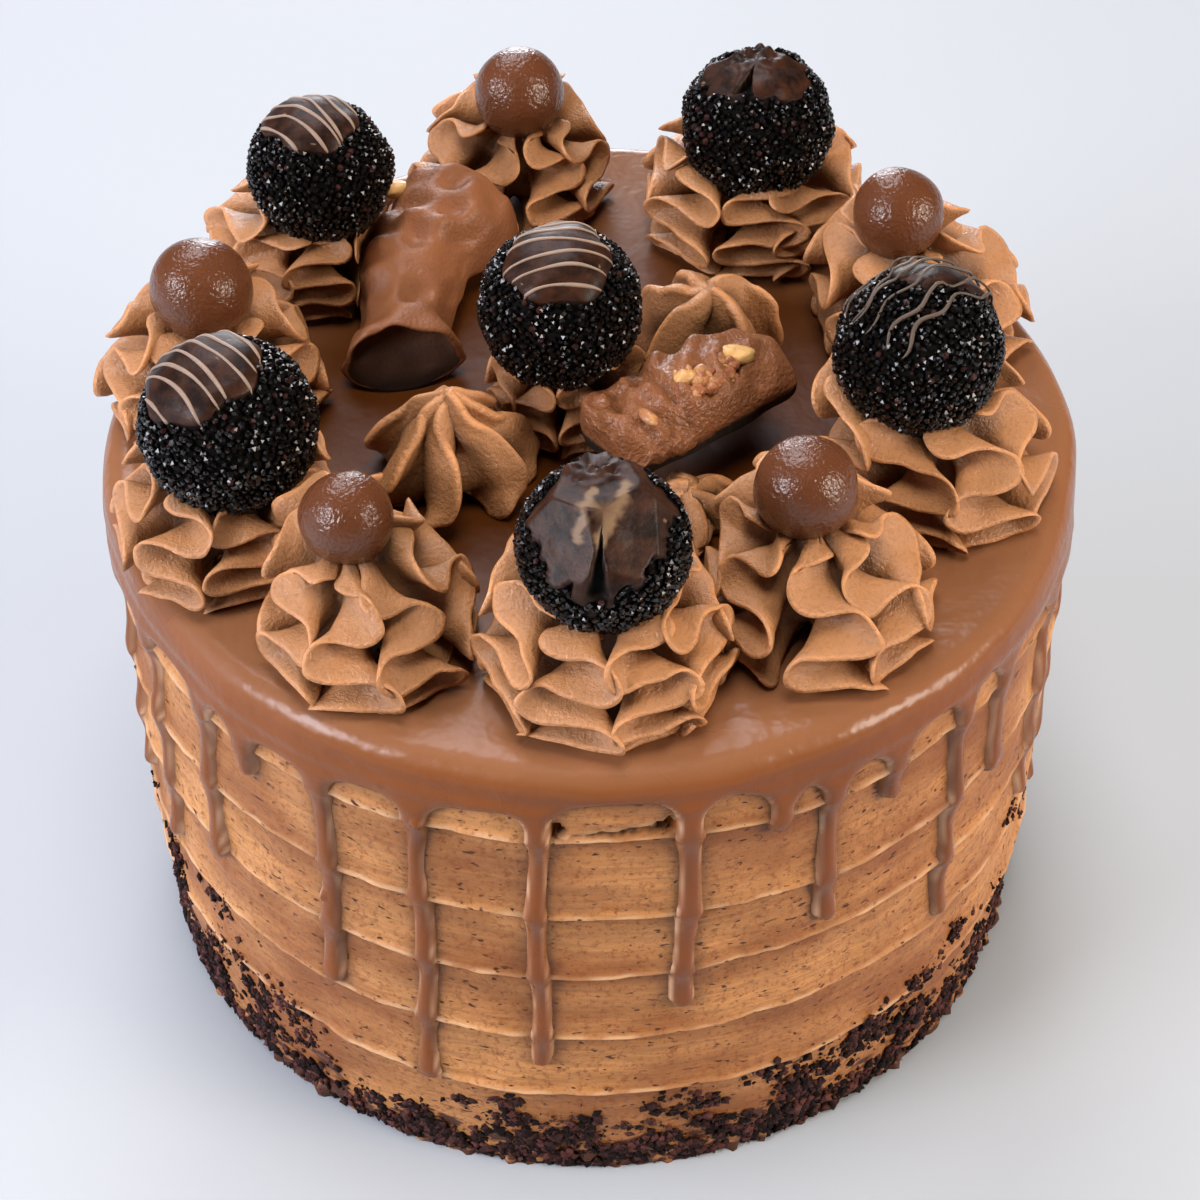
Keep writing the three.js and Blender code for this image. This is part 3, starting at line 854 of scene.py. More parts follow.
# Kinds of rosette: path, fins, swing beside the usual, waves from foot to top, root radius as a share, and
# thickness beside the usual
KINDS = {
    "cup": (CUP, 8, 1.0, 3.5, 0.46, 1.0),
    "nest": (NEST, 8, 1.0, 3.1, 0.44, 1.0),
    "star": (PEAK, 7, 0.6, 1.2, 0.6, 1.8),
    "loop": (DOME, 5, 0.8, 0.7, 0.5, 2.0),
    "low": (PEAK, 6, 0.5, 1.0, 0.6, 1.8),
}
USUAL_RADIUS = 18.5
LOWEST_ROSETTE = 9
BESIDE_BAR = ("rosette_7", "rosette_8", "rosette_6")  # rosettes that lie against the first bar
SOFT_SIDE = 1.2  # distance within which they are crowded to its side
FOLD = 0.115  # how far a fin's edge goes back and forth, as a share of its wavelength
FINS_UNEVEN = (0.2, 8)  # height and wavelength of the unevenness of a fin
PRESSED_IN = 0.9  # how far a topping is pressed into the cream
CROWDED = 0.72  # power of the way up that the waves follow: under 1 they crowd at the foot


def rosette(kind, radius, height, props, seed):
    """A piped rosette standing at the origin.

    Rows climb the mound along the path of the fins' edges. Round each row the line goes out along one face
    of a fin, over its thin edge, back along the other and across the groove. A fin's edge swings sideways
    as a sine of the way up, and back and forth along the path as a sine of twice that, which folds it into
    round loops. The points of a fin stand off its middle sheet, along the sheet's normal, by half the fin's
    thickness.
    """
    path, fins, swing, waves, root, stout = KINDS[kind]
    rng = np.random.default_rng(seed)
    edge_path = smooth_path(np.array(path) * (radius, height), ROSETTE_ROWS)
    reach, level = edge_path[:, :1], edge_path[:, 1:]
    step = unit(np.gradient(edge_path, axis=0))
    share = np.linspace(0, 1, ROSETTE_ROWS)[:, None]

    spread = TAU / fins
    fin_angle = (np.arange(fins) + rng.uniform(-0.16, 0.16, fins)) * spread + rng.uniform(0, TAU)
    phase = np.cumsum(rng.normal(0, 0.6, fins)) + rng.uniform(0, TAU)
    gain = rng.uniform(0.88, 1.12, fins)
    longer = rng.uniform(0.93, 1.06, fins)
    taller = 1 + (0.18 * np.sin(fin_angle) if path in (CUP, NEST) else 0) + rng.uniform(-0.04, 0.06, fins)
    turn = TAU * waves * rng.uniform(0.85, 1.15, fins) * share**CROWDED + phase
    room = np.minimum(reach / radius, 1) * ease(share / 0.05)
    sideways = swing * props.swing / MM * radius / USUAL_RADIUS * gain * room * np.sin(turn)
    length = np.linalg.norm(np.diff(edge_path, axis=0), axis=1).sum()
    wavelength = length / waves * np.maximum(share, 0.02) ** (1 - CROWDED) / CROWDED
    forth = -FOLD * wavelength * room * np.sin(2 * turn) * min(swing, 1)

    out = ACROSS
    bend = out**1.5
    root_reach, root_level = root * reach, 0.16 * height + 0.74 * level
    folded_out, folded_up = ((part * forth)[..., None] * bend for part in (step[:, :1], step[:, 1:]))
    r = root_reach[..., None] + (reach * longer - root_reach)[..., None] * out + folded_out
    t = sideways[..., None] * bend
    z = root_level[..., None] + (level * taller - root_level)[..., None] * out + folded_up
    cos, sin = np.cos(fin_angle)[:, None], np.sin(fin_angle)[:, None]
    sheet = np.stack([r * cos - t * sin, r * sin + t * cos, z], -1)
    uneven, lumps = FINS_UNEVEN
    sheet += uneven * np.stack([wobble(sheet, lumps, seed + k) for k in range(3)], -1)
    normal = unit(np.cross(np.gradient(sheet, axis=0), np.gradient(sheet, axis=2)))
    edge = props.edge / MM * stout
    base = FIN_ROOT * (1 + (stout - 1) * np.minimum(reach / (0.6 * radius), 1))
    thick = base + (edge - base) * np.minimum(out * 1.35, 1)
    half = (thick / 2 * np.sqrt(1 - out**10))[:, None, :, None]
    right = sheet - normal * half
    left = sheet + normal * half
    groove_angle = fin_angle + spread / 2
    groove_reach = 0.85 * root_reach
    groove = np.stack([groove_reach * np.cos(groove_angle), groove_reach * np.sin(groove_angle),
                       root_level + 0 * groove_angle], -1)[:, :, None]
    ring = np.concatenate([right, left[:, :, -2::-1], groove], 2)
    points = ring.reshape(ROSETTE_ROWS, -1, 3)
    points[..., 2] = np.maximum(points[..., 2], 0.05)
    values = np.concatenate([out, out[-2::-1], [0]])
    return points, np.broadcast_to(np.tile(values, fins), points.shape[:2])


def topping_place(node):
    """Middle and radius of the ball in a node's box. A cap only makes the box taller."""
    low, high = box_mm(node)
    radius = (high - low)[:2].mean() / 2
    return np.array([*(low + high)[:2] / 2, low[2] + radius]), radius


def nestle(points, height, place, radius):
    """Leans a rosette to its topping by the square of the height, and moves what is inside to its skin."""
    points = points.copy()
    share = np.clip(points[..., 2:] / height, 0, 1.2)
    points[..., :2] += place[:2] * share**2
    offset = points - place
    distance = np.linalg.norm(offset, axis=-1, keepdims=True)
    skin = radius - PRESSED_IN
    return np.where(distance < skin, place + offset / np.maximum(distance, 1e-6) * skin, points)


def beside_bar(points, spec):
    """Crowds the points of a rosette that reach over a bar to the bar's long sides, softly."""
    local = (points - (*spec["at"], TOP_Z)) @ bar_turn(spec)
    along = local[..., 0] / spec["length"]
    across = local[..., 1] - bar_bend(spec, along)
    half = bar_half(spec, along)
    out = half + SOFT_SIDE * np.logaddexp(0, (np.abs(across) - half) / SOFT_SIDE)
    near = ease(along / 0.06) * ease((1.04 - along) / 0.06)
    local[..., 1] += near * np.sign(across) * (out - np.abs(across))
    return local @ bar_turn(spec).T + (*spec["at"], TOP_Z)


# The truffles

# Smears of pale chocolate on the broken cap of the first truffle, each through three directions
SMEARS = (
    ((-0.13, -0.11, 0.98), (-0.2, -0.4, 0.9), (-0.31, -0.65, 0.7)),
    ((0.24, -0.05, 0.97), (0.17, -0.42, 0.89), (-0.04, -0.7, 0.71)),
)
SMEAR_WIDTH = 1.1
SMEAR_STEPS = 40
# How each truffle is finished: the cap's tilt and spread in radians, how much further it hangs down in
# front, and the heading in degrees and number of its lines of drizzle. A broken cap has flats, a split and
# a crust instead.
TRUFFLES = {
    "truffle_1": {"tilt": (0.0, -0.42), "spread": 0.96, "hang": 0.08, "heading": 0, "lines": 0,
                  "flats": ((-0.52, -0.61, 0.6), (0.3, -0.58, 0.76), (-0.1, 0.05, 1), (-0.75, 0.25, 0.6),
                            (0.7, 0.3, 0.65), (0.85, -0.3, 0.45)),
                  "split": (-1.65, 0.15, 0.12), "crust": (-0.1, 0.33, 0.94),
                  "smears": SMEARS},
    "truffle_2": {"tilt": (0.3, 0.6), "spread": 0.62, "hang": 0.0, "heading": 38, "lines": 7},
    "truffle_3": {"tilt": (-0.05, 0.0), "spread": 0.7, "hang": 0.05, "heading": 0, "lines": 0,
                  "flats": ((-0.52, -0.19, 0.83), (-0.05, -0.43, 0.9), (0.37, -0.16, 0.92), (-0.3, 0.5, 0.8),
                            (0.4, 0.5, 0.77), (0, 0.05, 1)),
                  "split": (-1.95, 0.0, 0.3), "crust": (-0.05, 0.24, 0.96)},
    "truffle_4": {"tilt": (-0.12, 0.05), "spread": 0.74, "hang": 0.0, "heading": -46, "lines": 6},
    "truffle_5": {"tilt": (-0.36, 0.05), "spread": 0.82, "hang": 0.0, "heading": -48, "lines": 7},
    "truffle_6": {"tilt": (0.0, 0.0), "spread": 0.74, "hang": 0.12, "heading": 3, "lines": 7},
}
TRUFFLE_COLUMNS = 128
CAP_ROWS = 34
FLAT_DEPTH = 0.95  # distance of a broken cap's flats from the middle, as a share of the radius
COAT_ROWS = 26
# Ends of the coat's rows: beside the cap's edge, and as a share of half a turn
COAT_START, COAT_END = 1.03, 0.985
CAP_SEAT = 0.45  # how far the coat lies under the beads
CAP_EDGE = 0.03  # softness of the cap's edge, as a share of its spread
SLIT_DEPTH = 2.2
LOWEST_BEAD = -0.82  # height of the lowest beads, as a share of the radius
BEAD_LIFT = 0.42
BEAD_SHAKE = 0.17  # how far a bead is off the spiral, beside the spacing
PACKING = 0.866  # area for each bead, beside the square of the spacing
LOOSE_SPREAD = 0.65  # on caps smaller than this the drizzle is loose


class Truffle:
    """One truffle: where it is, how its cap lies, and how far its surface reaches in a direction."""

    def __init__(self, node, seed, cap):
        self.place, self.radius = topping_place(node)
        self.finish = TRUFFLES[node]
        self.seed = seed
        self.cap = cap
        self.axis = unit([*self.finish["tilt"], 1])
        self.side = unit(np.cross([0, 1, 0], self.axis))
        self.fore = np.cross(self.axis, self.side)

    def direction(self, lean, turn):
        """Direction at an angle from the cap's axis, and an angle round it from the side."""
        across = np.cos(turn)[..., None] * self.side + np.sin(turn)[..., None] * self.fore
        return np.cos(lean)[..., None] * self.axis + np.sin(lean)[..., None] * across

    def angles(self, directions):
        """Angle of each direction from the cap's axis, and its angle round the axis from the side."""
        return lean_from(self.axis, directions), np.arctan2(directions @ self.fore, directions @ self.side)

    def edge(self, turn):
        """Angle from the axis to the edge of the cap: uneven, hanging lower in front."""
        wave = 0.1 * np.sin(2 * turn + self.seed) + 0.07 * np.sin(3 * turn + 2 * self.seed)
        wave = wave + 0.05 * np.sin(7 * turn + 3 * self.seed)
        return self.finish["spread"] * (1 + wave) - self.finish["hang"] * np.sin(turn)

    def skin(self, directions):
        """How far the surface reaches, and the share of cap there: 1 on the cap and 0 on the beaded coat.

        A broken cap is cut by flats, opened by a split that widens from near its middle to its edge, and
        has a crumbling crust on top.
        """
        lean, turn = self.angles(directions)
        spot = directions * self.radius
        inside = 1 - lean / self.edge(turn)
        reach = self.radius - CAP_SEAT + 0.18 * wobble(spot, 9, self.seed)
        rise = CAP_SEAT + self.cap * np.sqrt(np.clip(inside * 5, 0, 1))
        share = ease(inside / CAP_EDGE + 0.5)
        slit = np.zeros_like(lean)
        if "flats" in self.finish:
            share = ease((inside + 0.07 * wobble(spot, 4, self.seed + 5)) / CAP_EDGE + 0.5)
            flat = FLAT_DEPTH * self.radius / np.max(directions @ unit(self.finish["flats"]).T, axis=-1)
            rise = np.clip(flat - reach, 0.05, 1.5)
            crusty = ease(2.0 - lean_from(unit(self.finish["crust"]), directions) / 0.22)
            rise = rise + crusty * (0.25 + 0.4 * wobble(spot, 3, self.seed + 6))
            share = np.maximum(share, crusty)
            middle, start, wide = self.finish["split"]
            aside = np.abs(turn_from(middle, turn)) / (wide * np.clip(lean - start, 0.001, 1))
            slit = ease(3 - 2 * aside) * ease(8 * inside)
            rise = rise - SLIT_DEPTH * slit
            share = share * (1 - 0.5 * ease(1.8 - aside) * (1 - slit))
        return reach + rise * np.maximum(share, slit), share * (1 - slit), slit

    def smeared(self, directions):
        """How far a direction is in a pale smear: 1 on the smear's line, fading out to half its width."""
        near = np.full(directions.shape[:-1], 9.0)
        for corners in self.finish.get("smears", ()):
            line = unit(smooth_path(corners, SMEAR_STEPS))
            near = np.minimum(near, lean_from(line.T, directions).min(-1))
        ragged = 1 + 0.35 * wobble(directions * self.radius, 2.5, self.seed + 7)
        return ease(1.6 - 1.6 * near * self.radius / (SMEAR_WIDTH * ragged))

    def points(self, directions, lift=0.0):
        """Points on the skin in those directions, lifted off it."""
        return self.place + directions * (self.skin(directions)[0] + lift)[..., None]


def truffle_skin(truffle):
    """Grid over the whole ball about the cap's axis, with rows that follow the edge of the cap."""
    turn = np.linspace(0, TAU, TRUFFLE_COLUMNS, endpoint=False)
    edge = truffle.edge(turn)
    coat = (1 - np.linspace(0, 1, COAT_ROWS)[1:] ** 1.6)[:, None]
    over = np.sqrt(np.linspace(0.999, 0, CAP_ROWS, endpoint=False))[:, None]
    first, last = edge * COAT_START, math.pi * COAT_END
    lean = np.concatenate([first + (last - first) * np.concatenate([[[1.0]], coat]), edge * over])
    directions = truffle.direction(lean, np.broadcast_to(turn, lean.shape))
    reach, share, _ = truffle.skin(directions)
    return truffle.place + directions * reach[..., None], share, truffle.smeared(directions)


def bead_copies(truffles, bead, spacing):
    """Beads over the coats: an even spiral on each ball, shaken a little, left out of caps and cream."""
    rng = np.random.default_rng(41)
    ball, faces = icosahedron()
    copies = []
    for truffle in truffles:
        number = int(2 * TAU * truffle.radius**2 / (spacing**2 * PACKING))
        step = np.arange(number) + 0.5
        height = 1 - 2 * step / number
        spiral = around(step * TAU * GOLDEN, np.sqrt(1 - height**2), height)
        directions = unit(spiral + rng.normal(0, BEAD_SHAKE * spacing / truffle.radius, (number, 3)))
        _, share, slit = truffle.skin(directions)
        bare = (share < 0.3) & (slit < 0.3) & (directions[:, 2] > LOWEST_BEAD)
        directions = directions[bare]
        width = bead / 2 * rng.uniform(0.72, 1.15, (len(directions), 1, 1))
        stretched = ball * rng.uniform(0.8, 1.2, (len(directions), 1, 3)) * width
        turned = np.einsum("nij,nkj->nki", random_turns(rng, len(directions)), stretched)
        copies.append(turned + truffle.points(directions, BEAD_LIFT)[:, None])
    copies = np.concatenate(copies)
    return (*joined(copies, faces), np.repeat(rng.uniform(0, 1, len(copies)), len(ball)))


SWEEP_STEPS = 400
STRIPE_STEPS = 40
STRIPE_SIDES = 6


def ribbon(truffle, directions, width, height, lift):
    """A line of chocolate on a truffle along given directions: a low half round tube with tapered ends."""
    path = truffle.points(directions, lift)
    steps = len(path)
    half = width / 2 * np.sqrt(1 - np.linspace(-1, 1, steps) ** 8)
    half = half * (1 + 0.25 * np.sin(np.linspace(0, 9, steps) + 40 * directions[0, 0]))
    sideways = unit(np.cross(unit(np.gradient(path, axis=0)), directions))
    turn = np.linspace(0, -TAU, STRIPE_SIDES, endpoint=False)
    across = np.cos(turn)[:, None] * sideways[:, None] * half[:, None, None]
    upward = np.sin(turn)[:, None] * directions[:, None] * np.minimum(half, height)[:, None, None]
    return closed_grid(path[:, None] + across + upward)[:2]


def drizzle_lines(truffle, width, gap):
    """Lines of drizzle: arcs where parallel planes cut the ball, that run to the cap's edge or just past it.

    On a small cap the lines are loose: they wave, and run on over the beads. Gives each line's mesh and,
    for its points, 1 where it is loose.
    """
    rng = np.random.default_rng(truffle.seed + 60)
    number = truffle.finish["lines"]
    loose = truffle.finish["spread"] < LOOSE_SPREAD
    heading = math.radians(truffle.finish["heading"])
    across = np.array([-math.sin(heading), math.cos(heading), 0])
    up = unit(truffle.axis - (truffle.axis @ across) * across)
    forward = np.cross(across, up)
    sweep = np.linspace(-1.5, 1.5, SWEEP_STEPS)
    lines = []
    for k in range(number):
        offset = ((k - (number - 1) / 2) * gap + rng.normal(0, 0.25)) / truffle.radius + truffle.axis @ across
        wave = (0.05 if loose else 0.015) * np.sin(sweep * (9 if loose else 4) + rng.uniform(0, TAU))
        high = np.clip(offset + wave + 0.05 * sweep * rng.normal(), -0.95, 0.95)
        ring = np.cos(sweep)[:, None] * up + np.sin(sweep)[:, None] * forward
        directions = high[:, None] * across + np.sqrt(1 - high**2)[:, None] * ring
        lean, turn = truffle.angles(directions)
        limit = 1.8 if loose else truffle.edge(turn) * rng.uniform(0.98, 1.1)
        inside = np.flatnonzero(lean < limit)
        if len(inside) > 8:
            chosen = directions[np.linspace(inside[0], inside[-1], STRIPE_STEPS).astype(int)]
            lines.append(ribbon(truffle, chosen, width, width * 0.35, 0.85 if loose else 0.02))
    # The value is 1 on loose lines, which the drizzle material darkens as painted shade
    return lines, [np.full(len(points), float(loose)) for points, _ in lines]


# The malt balls

BALL_ROWS = 40
BALL_COLUMNS = 64


def malt_ball(place, radius, uneven, seed):
    """A ball a little out of round: its radius follows slow waves and a few shallow flats."""
    lean = np.linspace(math.pi, 0, BALL_ROWS + 2)[1:-1, None]
    turn = np.linspace(0, TAU, BALL_COLUMNS, endpoint=False)
    directions = around(turn, np.sin(lean), np.cos(lean))
    flats = unit(np.random.default_rng(seed).normal(size=(7, 3)))
    flat = np.max(directions @ flats.T, axis=-1)
    dents = 3.2 * np.maximum(flat - 0.9, 0) * 2
    reach = radius + uneven * (0.6 * wobble(directions * radius, 14, seed) - dents)
    return place + directions * reach[..., None]


# The nut bars

BAR_ROWS = 110
BAR_COLUMNS = 72
BEND_STEPS = 60
# Each bar as it lies: near end, height over the poured chocolate, angles in degrees, and size. Then its
# shape: height at the near end, halfway and at the far end, beside the full height; how far the near end is
# cut askew, and its lower lip comes forward; how far the foot spreads, or is cut under; height at which the
# rounded underside meets the side; height of the steep sides, as a share; height of the dark foot; and
# whether the top is broken. It bends to its left at shares of its length. The outline runs from the middle
# of the near end to the middle of the far end, as shares of length and width, and the first bar's near end
# is an open mouth with a flared rim.
BARS = {
    "nut_bar_1": {
        "at": (-34.2, 10.8), "rise": 0.3, "heading": 80, "pitch": 3, "roll": 0,
        "length": 43.5, "width": 20, "height": 16,
        "back": (0.86, 1.0, 1.0), "slant": 0.35, "bulge": 3.0, "flare": 0.08, "keel": 3.4, "shoulder": 0.0,
        "dark_foot": 0.8, "broken": False,
        "bends": ((0, -0.3), (0.26, 1.6), (0.46, 3.4), (0.62, 2.8), (0.78, -0.6), (1, -1)),
        "outline": (
            (0.06, 0.02), (0.06, 0.5), (0.05, 0.8), (0.012, 0.88), (-0.012, 0.95), (0.01, 1.03), (0.05, 0.97),
            (0.1, 0.84), (0.18, 0.75), (0.28, 0.78), (0.48, 0.9), (0.62, 0.95), (0.72, 1.1), (0.82, 1.16),
            (0.93, 1.16), (1.0, 1.12), (1.006, 0.98), (1.0, 0.6), (1.0, 0.02),
        ),
    },
    "nut_bar_2": {
        "at": (3, -22), "rise": 8.5, "heading": 37, "pitch": 2, "roll": -6,
        "length": 37, "width": 18, "height": 14,
        "back": (0.95, 1.0, 0.66), "slant": 0.0, "bulge": 0.0, "flare": -0.16, "keel": 0.3, "shoulder": 0.3,
        "dark_foot": 3.3, "broken": True,
        "bends": ((0, 0), (1, 0)),
        "outline": (
            (0.0, 0.02), (-0.01, 0.5), (0.0, 0.8), (0.03, 0.95), (0.12, 1.02), (0.5, 1.04), (0.85, 1.02),
            (0.95, 0.94), (0.99, 0.78), (1.0, 0.45), (1.0, 0.02),
        ),
    },
}
WALL = 2 / 9  # share of the way up the section that a steep side takes
# The broken top of the second bar: where it is rough, along it and in degrees round it, and the step
ROUGH = {"along": (0.36, 0.8), "angle": (92, 140), "step": 0.36, "drop": 2.2}
ROUGH_FADE = (0.08, 8)  # how softly the rough place begins, along the bar and in degrees
# Nuts that show: the bar, place along it, angle round it in degrees, share of the width, length, width, and
# how golden it is from 0 to 1
NUTS = [
    ("nut_bar_2", 26.8, 103, 1.0, 7.2, 4.0, 1.0), ("nut_bar_2", 15.2, 108, 1.0, 4.2, 3.2, 0.75),
    ("nut_bar_2", 5.2, 124, 1.0, 4.4, 2.4, 0.35),
    ("nut_bar_1", 40.5, 32, 1.22, 5.4, 4.2, 1.0),
]
NUT_ROWS, NUT_COLUMNS = 20, 32
NUT_SUNK = 0.3  # how far the middle of a nut lies under the skin
# Nut chips in the broken top
CHIPS = {"count": 46, "along": (14, 25), "angle": (101, 130), "size": (1.3, 2.8)}


def bar_turn(spec):
    """Turn of a bar: roll about its length, then pitch, then heading."""
    roll, pitch, heading = (math.radians(spec[key]) for key in ("roll", "pitch", "heading"))
    cos, sin = math.cos, math.sin
    about_x = np.array([[1, 0, 0], [0, cos(roll), -sin(roll)], [0, sin(roll), cos(roll)]])
    about_y = np.array([[cos(pitch), 0, -sin(pitch)], [0, 1, 0], [sin(pitch), 0, cos(pitch)]])
    about_z = np.array([[cos(heading), -sin(heading), 0], [sin(heading), cos(heading), 0], [0, 0, 1]])
    return about_z @ about_y @ about_x


def bar_bend(spec, along):
    """How far a bar bends to its left at a share of its length."""
    return np.interp(along, *smooth_path(spec["bends"], BEND_STEPS).T)


def bar_half(spec, along):
    """Half the width of a bar's outline at a share of its length."""
    shares, widths = smooth_path(spec["outline"], BAR_ROWS).T
    flank = np.arange(np.argmin(shares), np.argmax(shares) + 1)
    return spec["width"] / 2 * np.interp(along, shares[flank], widths[flank])


def bar_skin(spec, along, wide, turn):
    """Points of a bar's skin, at a share of its length, a share of its width and an angle round it.

    The section is half round over a flat base. Its foot flares or is cut under, and it may have steep sides
    up to a shoulder. Where the share of the width nears 0 the section shrinks to its middle, which closes
    the ends.
    """
    length, width, height = (spec[key] for key in ("length", "width", "height"))
    shoulder, keel = spec["shoulder"], spec["keel"]
    wall_share = WALL if shoulder else 1e-6
    climb = np.arcsin(np.clip(np.sin(turn), 0, 1)) / (math.pi / 2)
    over = np.clip((climb - wall_share) / (1 - wall_share), 0, 1) * math.pi / 2
    rise = shoulder * np.clip(climb / wall_share, 0, 1) + (1 - shoulder) * np.sin(over) ** 0.8
    foot = 1 + spec["flare"] * np.exp(-rise * 7)
    side = np.where(np.sin(turn) >= 0, np.sign(np.cos(turn)) * np.cos(over), np.cos(turn))
    back = np.interp(along, (0, 0.5, 1), spec["back"])
    y = width / 2 * wide * foot * side
    middle = 0.35 * height
    level = keel * (1 + np.minimum(np.sin(turn), 0)) + (height * back - keel) * rise
    z = middle + np.minimum(wide, 1) * (level - middle)
    lip = spec["bulge"] * np.minimum(wide, 1) * (1 - rise) * np.maximum(1 - (2 * y / width) ** 2, 0)
    x = along * length - (spec["slant"] * y + lip) * (1 - np.clip(along, 0, 1)) ** 3
    return np.stack(np.broadcast_arrays(x, y + bar_bend(spec, along), z), -1)


def placed_bar(spec, points):
    """Points of a bar where it lies on the cake."""
    return points @ bar_turn(spec).T + (*spec["at"], TOP_Z + spec["rise"])


def broken_top(along, turn, points):
    """Height to add on a broken bar: a step down at the near end, and a craggy patch among the nuts."""
    angle = np.degrees(turn)
    (near, far), (low, high) = ROUGH["along"], ROUGH["angle"]
    soft, wide = ROUGH_FADE
    patch = ease((along - near) / soft) * ease((far - along) / soft)
    patch = patch * ease((angle - low) / wide) * ease((high - angle) / wide)
    step = ease((ROUGH["step"] - along) / 0.03) * ease((angle - 40) / 30) * ease((170 - angle) / 20)
    crags = 0.6 * wobble(points, 2.6, 310) - 0.4
    return patch * crags - ROUGH["drop"] * step * (1 + 0.3 * wobble(points, 4, 311))


def nut_bar(spec, lumps, seed):
    """A bar as a grid: rows along its outline, columns round its section, and lumps over the nuts inside.

    One value is 1 on the dark foot and in the mouth of the first bar, whose floor comes out to its rim; in
    the mouth it is painted shade, a little less of it higher up as a painted reflection. The other is 1 on
    the bar with the grainy skin.
    """
    path = smooth_path(np.array(spec["outline"]) * (spec["length"], spec["width"] / 2), BAR_ROWS)
    along, wide = path[:, :1] / spec["length"], path[:, 1:] / (spec["width"] / 2)
    turn = np.linspace(0, TAU, BAR_COLUMNS, endpoint=False)
    points = bar_skin(spec, along, wide, turn)
    mouth = (np.arange(BAR_ROWS)[:, None] < np.argmin(along)) & (spec["slant"] > 0)
    raised = ease((points[..., 2] - 1) / (0.5 * spec["height"]))
    along = along.min() + (along - along.min()) * np.where(mouth, raised, 1)
    points = bar_skin(spec, along, wide, turn)
    points[..., 2] += lumps * wobble(points, 6.5, seed) * ease(points[..., 2] / 6)
    points[..., 1] += 0.5 * lumps * wobble(points, 13, seed + 1)
    under = 1 - ease((points[..., 2] - spec["dark_foot"]) / 0.6)
    # Painted shade in the first bar's mouth, a little less of it higher up as a painted reflection
    under = np.maximum(under, mouth * (1 - 0.3 * raised))
    if spec["broken"]:
        points[..., 2] += broken_top(along, turn, points)
    return placed_bar(spec, points), under, np.full(under.shape, float(spec["broken"]))


def nut_shapes():
    """Broken peanuts: lumpy ellipsoids set half into the bars. Their value is how golden they are."""
    lean = np.linspace(math.pi, 0, NUT_ROWS + 2)[1:-1, None]
    turn = np.linspace(0, TAU, NUT_COLUMNS, endpoint=False)
    ball = around(turn, np.sin(lean), np.cos(lean))
    rng = np.random.default_rng(77)
    spread = [rng.uniform(*CHIPS[key], CHIPS["count"]) for key in ("along", "angle", "size", "size")]
    chips = [("nut_bar_2", along, angle, 1.0, length, width, golden)
             for along, angle, length, width, golden in zip(*spread, rng.uniform(0, 0.45, CHIPS["count"]))]
    shapes, tints = [], []
    for i, (node, along, angle, wide, length, width, golden) in enumerate(NUTS + chips):
        spec = BARS[node]
        seat = bar_skin(spec, *map(np.array, (along / spec["length"], wide, math.radians(angle))))
        rough = 1 + 0.05 * wobble(ball, 1.5, 80 + i) + 0.015 * wobble(ball, 0.6, 90 + i)
        lump = ball * rough[..., None] * (length / 2, width / 2, width / 2.6)
        cos, sin = math.cos(1.1 * i), math.sin(1.1 * i)
        spun = lump @ np.array([[cos, sin, 0], [-sin, cos, 0], [0, 0, 1]])
        shapes.append(closed_grid(spun + placed_bar(spec, seat - (0, 0, NUT_SUNK)))[:2])
        tints.append(np.full(len(shapes[-1][0]), golden))
    return (*merged(shapes), np.concatenate(tints))


# The crumbs

CLUMP_CRUMBS = 60
FOOT_CRUMBS = 1100
STRAY_CRUMBS = 700
SMALLEST_CRUMB = 0.5
STRAY_HEIGHTS = (5, 44)
CLIMB, CLIMB_ASIDE = 6.5, 11  # how high the clumps climb, and how much higher at the sides
FOOT_RISE = 1.7  # mean height of the crumbs along the base
CLUMP_WIDTH, CLUMP_HEIGHT = 3.6, 2.3  # spread of the loosest clumps
FLATTENED = 0.35  # how far a crumb is pressed flat


